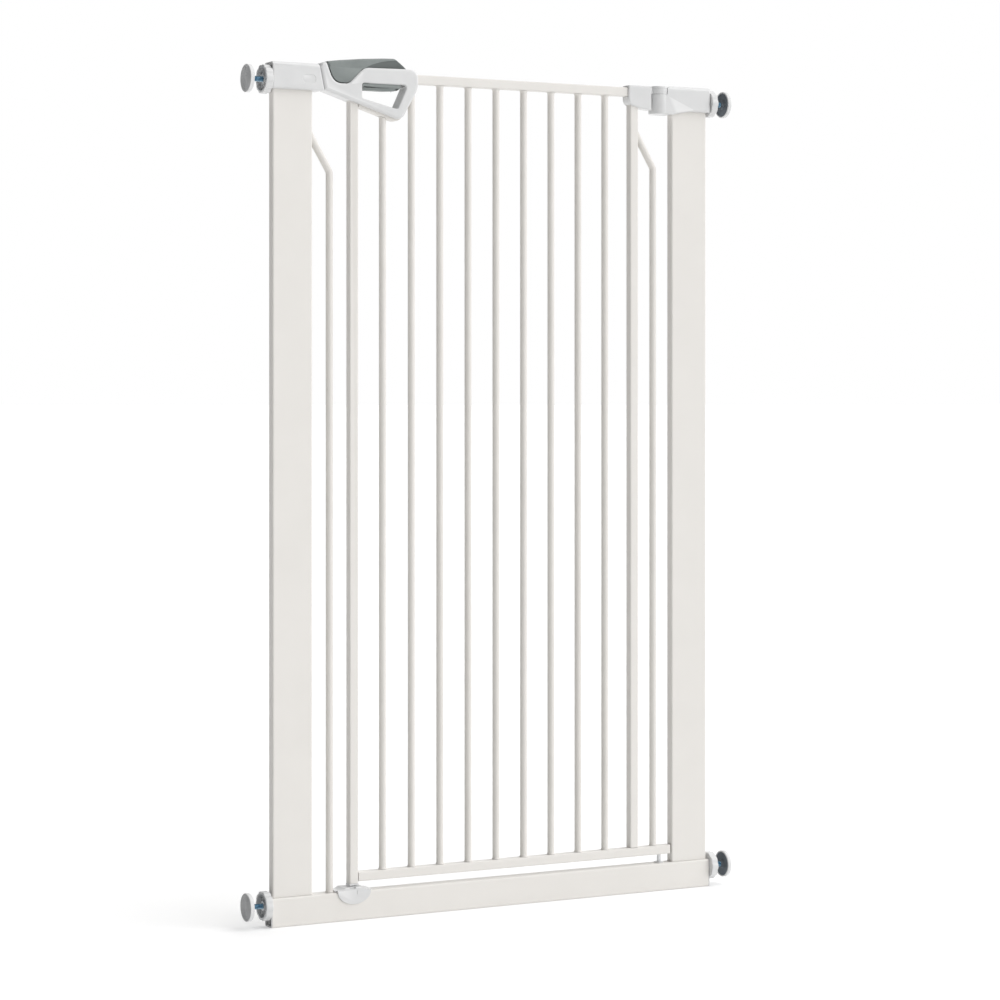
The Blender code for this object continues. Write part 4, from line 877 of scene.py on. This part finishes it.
def make_bracket():
    stile_x = HINGE_X - 0.0477
    half = STILE / 2 + GAP
    arm_low = KNUCKLE_SPLIT + GAP
    root = HINGE_X - 0.0302
    for name, face in (("hinge_bracket_front", -1), ("hinge_bracket_back", 1)):
        obj = shell_skin(name, BRACKET, BRACKET_HALF, face, (0.0026, 0.0022))
        cuts = [block((stile_x - half, -half, 1.0), (stile_x + half, half, DOOR_TOP + GAP)),
                block((stile_x - 0.05, -half, DOOR_TOP - STILE - GAP), (stile_x, half, DOOR_TOP + GAP)),
                block((stile_x + half - 0.001, -0.0080, 1.2135), (HINGE_X - 0.0202, 0.0080, 1.2325))]
        if face > 0:
            cuts.append(block((root - GAP, -0.001, arm_low - GAP),
                              (HINGE_X, ARM_HALF + GAP, DOOR_TOP + 0.01)))
            for x, z in BRACKET_SCREWS:
                cuts += screw_recess(x, z, BRACKET_HALF)
        carve(obj, *cuts)
        if face < 0:
            arm = yz_box(ARM_HALF, DOOR_TOP + 0.0030, arm_low, 0.0010, 0.0006)
            join(obj, yz_prism(arm, root, HINGE_X),
                 knuckle(arm_low, KNUCKLE_TOP, 0.0006, 0.0020, (1.2372, 1.2420)))
            carve(obj, rod(PIN_BORE, (HINGE_X, 0, arm_low - 0.005), (HINGE_X, 0, KNUCKLE_TOP - 0.0027)))
        finish_piece(obj, white, "door", [name])
    for number, (x, z) in enumerate(BRACKET_SCREWS):
        screw(f"bracket_screw_{number + 1}", x, z, BRACKET_HALF - 0.0019, "door")


# ================================================================ keeper, foot and bush
def make_keeper():
    """Saddle on the bottom rail: two round cheeks, a flat top, two ramps and a socket."""
    middle = LATCH_X - 0.0022
    top = RAIL_TOP
    inner = 0.01205
    outer = inner + 0.0015
    low = top + 0.0025
    radius = 0.0270
    drop = 0.0200
    half = STILE / 2
    cheek = [(middle - radius, low, 0.0010)]
    for i in range(0, 19):
        angle = math.pi + math.pi * i / 18
        cheek.append((middle + radius * math.cos(angle), low - 0.0012 + drop * math.sin(angle), 0))
    cheek.append((middle + radius, low, 0.0010))
    ramp = [(middle - 0.0230, low - 0.001, 0.0004), (middle - 0.0150, top + 0.0060, 0.0040),
            (middle + 0.0150, top + 0.0060, 0.0040), (middle + 0.0230, low - 0.001, 0.0004)]
    obj = link("keeper_saddle", block((middle - radius + 0.0004, -inner - 0.0008, top),
                                      (middle + radius - 0.0004, inner + 0.0008, low)))
    for face in (-1, 1):
        join(obj, soft_prism(cheek, face * outer, face * inner, (0.0004, 0.0009), rounds=4, steps=4),
             soft_prism(ramp, face * outer, -face * 0.0005, (0.0010, 0.0010), rounds=4))
    tongue = -POST_IN + (0.0599 + 2 * BAR_RADIUS) / 2 + GAP
    join(obj, block((tongue, -half, top), (middle, half, low)),
         block((LATCH_X - half, -half, top), (LATCH_X + half, half, top + 0.0063)))
    slit = [(middle + 0.0035, low - 0.0008, 0.0003), (middle + 0.0035, top - 0.0045, 0.0003),
            (middle + 0.0045, top - 0.0045, 0.0003), (middle + 0.0045, low - 0.0008, 0.0003)]
    carve(obj, rod(0.0031, (LATCH_X, 0, low), (LATCH_X, 0, top + 0.012)),
          soft_prism(slit, -outer - 0.001, -outer + 0.0007),
          block((middle - 0.0085, -outer - 0.001, top + 0.0040),
                (middle + 0.0015, -inner + 0.0016, top + 0.0075)))
    finish_piece(obj, white, "frame", ["latch_keeper"])


def make_plugs():
    for side, word in ((-1, "left"), (1, "right")):
        reach = 0.37015
        end = 0.37165
        flange = yz_box(0.01175, 0.0422, 0, 0.0026, 0.0026)
        obj = link(f"rail_plug_{word}", yz_prism(flange, side * (reach + GAP), side * end))
        core = yz_box(0.0102, 0.0407, 0.0015, 0.0012, 0.0012)
        join(obj, yz_prism(core, side * (reach - 0.015), side * (reach + 0.0007)))
        pocket = yz_box(0.0098, 0.0185, 0.0022, 0.0012, 0.0012)
        carve(obj, rod(SPINDLE_BORE, (side * 0.39, 0, SPINDLE_LOW), (side * 0.35, 0, SPINDLE_LOW)),
              yz_prism(pocket, side * (end - 0.0090), side * (end + 0.002)))
        join(obj, block((min(side * (end - 0.0092), side * (end - 0.0006)), -0.0005, 0.0020),
                        (max(side * (end - 0.0092), side * (end - 0.0006)), 0.0005, 0.0190)))
        finish_piece(obj, plug_plastic, "frame", [f"rail_end_plug_{word}"])


def make_foot():
    half = STILE / 2
    core = half - TUBE_WALL - GAP
    sole = yz_box(half, 0.0527, 0.0497, 0.0006, 0.0018)
    obj = link("stile_foot_plug", yz_prism(sole, LATCH_X - half, LATCH_X + half))
    join(obj, block((LATCH_X - core, -core, 0.0520), (LATCH_X + core, core, 0.0680)))
    carve(obj, rod(0.0028, (LATCH_X, 0, 0), (LATCH_X, 0, 0.2)))
    finish_piece(obj, white, "door", ["stile_foot"])


# ================================================================ screw feet
def lobed_ring(radius, z, place, lobes=10, count=140):
    points = []
    for i in range(count):
        angle = 2 * math.pi * i / count
        local = radius - WHEEL_DIP * (0.5 - 0.5 * math.cos(lobes * angle)) ** 2
        points.append(place @ Vector((local * math.cos(angle), local * math.sin(angle), z)))
    return points


def make_wheel(corner, side, near, z):
    """Handwheel with finger hollows on its rim; the wall side is open, with a hub and ribs."""
    place = axis_frame((near, 0, z), (side, 0, 0))
    edge = 0.0012
    rings = [lobed_ring(WHEEL_RADIUS - edge * a, edge * d, place) for a, d in rounding(4)]
    rings += [lobed_ring(WHEEL_RADIUS - edge * a, WHEEL_THICK - edge * d, place)
              for a, d in rounding(4)[::-1]]
    obj = link(f"wheel_{corner}", loft(rings))
    rim = 0.0170
    hub = 0.0070
    web = 0.0040
    beyond = WHEEL_THICK + 0.005
    carve(obj, turned([(web, hub), (web, rim), (beyond, rim), (beyond, hub)], (near, 0, z), (side, 0, 0), 64),
          turned([(WHEEL_THICK - 0.0022, 0), (WHEEL_THICK - 0.0022, hub + 0.001), (beyond, hub + 0.001),
                  (beyond, 0)], (near, 0, z), (side, 0, 0), 48))
    ribs = []
    for i in range(8):
        turn = place @ Matrix.Rotation(2 * math.pi * i / 8 + 0.2, 4, "Z")
        bm = block((hub - 0.0006, -0.0006, web - 0.0005), (rim + 0.0004, 0.0006, WHEEL_THICK - 0.0035))
        bmesh.ops.transform(bm, matrix=turn, verts=bm.verts)
        ribs.append(bm)
    join(obj, *ribs)
    carve(obj, rod(SPINDLE_BORE, (near - side * 0.005, 0, z), (near + side * beyond, 0, z), 40))
    finish_piece(obj, white, f"handwheel_{corner}", [f"handwheel_{corner}"], angle=40)


def make_thread(corner, start, end, z):
    """Rod with a rolled right-hand thread, as one helical strip closed by its ends."""
    crest = 0.0040
    root = 0.00325
    sides = 20
    length = abs(end - start)
    place = axis_frame((start, 0, z), (end - start, 0, 0))
    turns = int(length / THREAD_PITCH) - 1
    profile = [(0.0, root), (0.30, crest - 0.00008), (0.42, crest), (0.52, crest - 0.00008), (0.86, root)]
    bm = bmesh.new()
    rings = []
    for i in range(turns * sides + 1):
        angle = 2 * math.pi * i / sides
        base = THREAD_PITCH * i / sides + 0.0004
        rings.append([bm.verts.new(place @ Vector((r * math.cos(angle), r * math.sin(angle),
                                                   base + share * THREAD_PITCH))) for share, r in profile])
    for first, second in zip(rings, rings[1:]):
        for a in range(len(profile) - 1):
            bm.faces.new((first[a], second[a], second[a + 1], first[a + 1]))
    for i in range(len(rings) - sides):
        later = rings[i + sides]
        now = rings[i]
        if i + 1 < len(rings) and i + sides + 1 < len(rings):
            bm.faces.new((now[-1], rings[i + 1][-1], rings[i + sides + 1][0], later[0]))
    bottoms = [ring[0] for ring in rings[:sides + 1]]
    middle_low = bm.verts.new(place @ Vector((0, 0, 0.0003)))
    for a, b in zip(bottoms, bottoms[1:]):
        bm.faces.new((a, b, middle_low))
    tops = [ring[-1] for ring in rings[-sides - 1:]]
    middle_high = bm.verts.new(place @ Vector((0, 0, length - 0.0002)))
    for a, b in zip(tops, tops[1:]):
        bm.faces.new((a, b, middle_high))
    bmesh.ops.holes_fill(bm, edges=[e for e in bm.edges if len(e.link_faces) == 1], sides=0)
    obj = link(f"threaded_spindle_{corner}", bm)
    finish_piece(obj, blue_zinc, f"screw_foot_{corner}", [f"spindle_{corner}"], angle=60)


def make_pad(corner, side, inner, z):
    """White ring around a grey rubber disc, which shows on both faces; on the inner face the disc is painted
    darker and bluish, painted shade.
    """
    body = f"screw_foot_{corner}"
    place = (inner, 0, z)
    direction = (side, 0, 0)
    r = PAD_RADIUS
    ring = [(0.0030, r - 0.0022), (0.0007, r - 0.0022), (0.0002, r - 0.0019), (0.0, r - 0.0014),
            (0.0002, r - 0.0006), (0.0008, r), (0.0056, r), (0.0060, r - 0.0004), (0.0060, r - 0.0009),
            (0.0030, r - 0.0009)]
    finish_piece(link(f"pad_ring_{corner}", turned(ring, place, direction, 72)), white, body,
                 [f"pad_cup_{corner}"])
    core = [(-0.0030, 0.0043), (-0.0030, 0.0060), (-0.0026, 0.0065), (0.0006, 0.0068), (0.0010, 0.0074),
            (0.0012, 0.0090), (0.0012, r - 0.0045), (0.0008, r - 0.0036), (0.0008, r - 0.0024),
            (0.0029, r - 0.0024), (0.0029, 0.0043)]
    # the inner disc is painted darker and bluish: painted shade
    finish_piece(link(f"pad_core_{corner}", turned(core, place, direction, 72)), shaded_core_rubber, body)
    face = [(0.0031, 0), (0.0031, r - 0.0011), (0.0056, r - 0.0011), (0.0060, r - 0.0015)]
    for radius in (0.0158, 0.0122, 0.0086, 0.0050):
        face += [(0.0060, radius + 0.0006), (0.00565, radius + 0.0003), (0.00565, radius - 0.0003),
                 (0.0060, radius - 0.0006)]
    face.append((0.0060, 0))
    finish_piece(link(f"pad_face_{corner}", turned(face, place, direction, 72)), rubber, body,
                 [f"rubber_pad_{corner}"])


def make_screw_feet():
    for corner, side, z in (("bottom_left", -1, SPINDLE_LOW), ("bottom_right", 1, SPINDLE_LOW),
                            ("top_left", -1, SPINDLE_HIGH), ("top_right", 1, SPINDLE_HIGH)):
        make_wheel(corner, side, side * WHEEL_X, z)
        low, high = node_box(f"spindle_{corner}")
        ends = (high.x, low.x) if side < 0 else (low.x, high.x)
        make_thread(corner, ends[0], ends[1], z)
        make_pad(corner, side, side * (PAD_END - PAD_DEPTH), z)


# ================================================================ set
def make_set():
    """Pale floor, soft studio light, and the camera."""
    bm = bmesh.new()
    bmesh.ops.create_grid(bm, x_segments=1, y_segments=1, size=400.0)
    floor = link("floor", bm)
    floor.location.z = -0.0005
    p = Paint("floor")
    shade = p.span(p.noise(0.6, 2.0), 0.0, 1.0, 0.3, 0.7)
    colour = p.mix(shade, (0.74, 0.74, 0.74), (0.72, 0.72, 0.72))
    floor.data.materials.append(p.set(Base_Color=colour, Roughness=0.9, Specular_IOR_Level=0.1,
                                      Emission_Color=(1, 1, 1, 1), Emission_Strength=0.30))

    world = bpy.data.worlds.new("studio")
    bpy.context.scene.world = world
    world.use_nodes = True
    tree = world.node_tree
    sky = tree.nodes.new("ShaderNodeTexCoord").outputs["Generated"]
    parts = tree.nodes.new("ShaderNodeSeparateXYZ")
    tree.links.new(sky, parts.inputs[0])
    fade = tree.nodes.new("ShaderNodeMapRange")
    fade.interpolation_type = "SMOOTHSTEP"
    tree.links.new(parts.outputs["X"], fade.inputs["Value"])
    for name, value in (("From Min", -0.9), ("From Max", 0.35), ("To Min", 0.0), ("To Max", 1.0)):
        fade.inputs[name].default_value = value
    seen = tree.nodes.new("ShaderNodeMix")                # a plain white backdrop behind the gate
    tree.links.new(tree.nodes.new("ShaderNodeLightPath").outputs["Is Camera Ray"], seen.inputs[0])
    tree.links.new(fade.outputs["Result"], seen.inputs[2])
    seen.inputs[3].default_value = 1.0
    tree.links.new(seen.outputs[0], tree.nodes["Background"].inputs["Strength"])
    tree.nodes["Background"].inputs["Color"].default_value = (1.0, 1.0, 1.0, 1.0)

    sun = bpy.data.lights.new("key", "SUN")
    sun.energy = 1.8
    sun.angle = math.radians(80)
    key = bpy.data.objects.new("key", sun)
    bpy.context.scene.collection.objects.link(key)
    key.rotation_euler = Vector((-0.57, 0.36, -0.74)).to_track_quat("-Z", "Y").to_euler()
    bpy.context.scene.view_settings.view_transform = "Standard"

    eye = bpy.data.cameras.new("camera")
    eye.sensor_width = 36.0
    eye.lens = 101.26
    eye.shift_y = -0.1058
    eye.clip_start = 0.05
    eye.clip_end = 200.0
    camera = bpy.data.objects.new("camera", eye)
    bpy.context.scene.collection.objects.link(camera)
    camera.location = (-1.9823, -3.7413, 0.7690)
    camera.rotation_euler = (math.radians(90), 0, math.radians(-28))
    bpy.context.scene.camera = camera


def dress_hidden_nodes():
    """The inner and small nodes that stay as they are get their materials."""
    for node, mat in (("upper_hinge_pin", steel), ("lower_hinge_bush", white), ("lower_hinge_pin", steel),
                      ("lock_rod", steel), ("latch_bolt", steel), ("latch_spring", steel),
                      ("lock_spring", steel), ("lock_rod_guide", white)):
        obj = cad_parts[node]
        obj.data.materials.clear()
        obj.data.materials.append(mat)


make_set()
make_steel()
make_strap()
make_handle()
make_slide()
make_trigger()
make_left_casing()
make_right_casing()
make_bracket()
make_keeper()
make_plugs()
make_foot()
make_screw_feet()
dress_hidden_nodes()
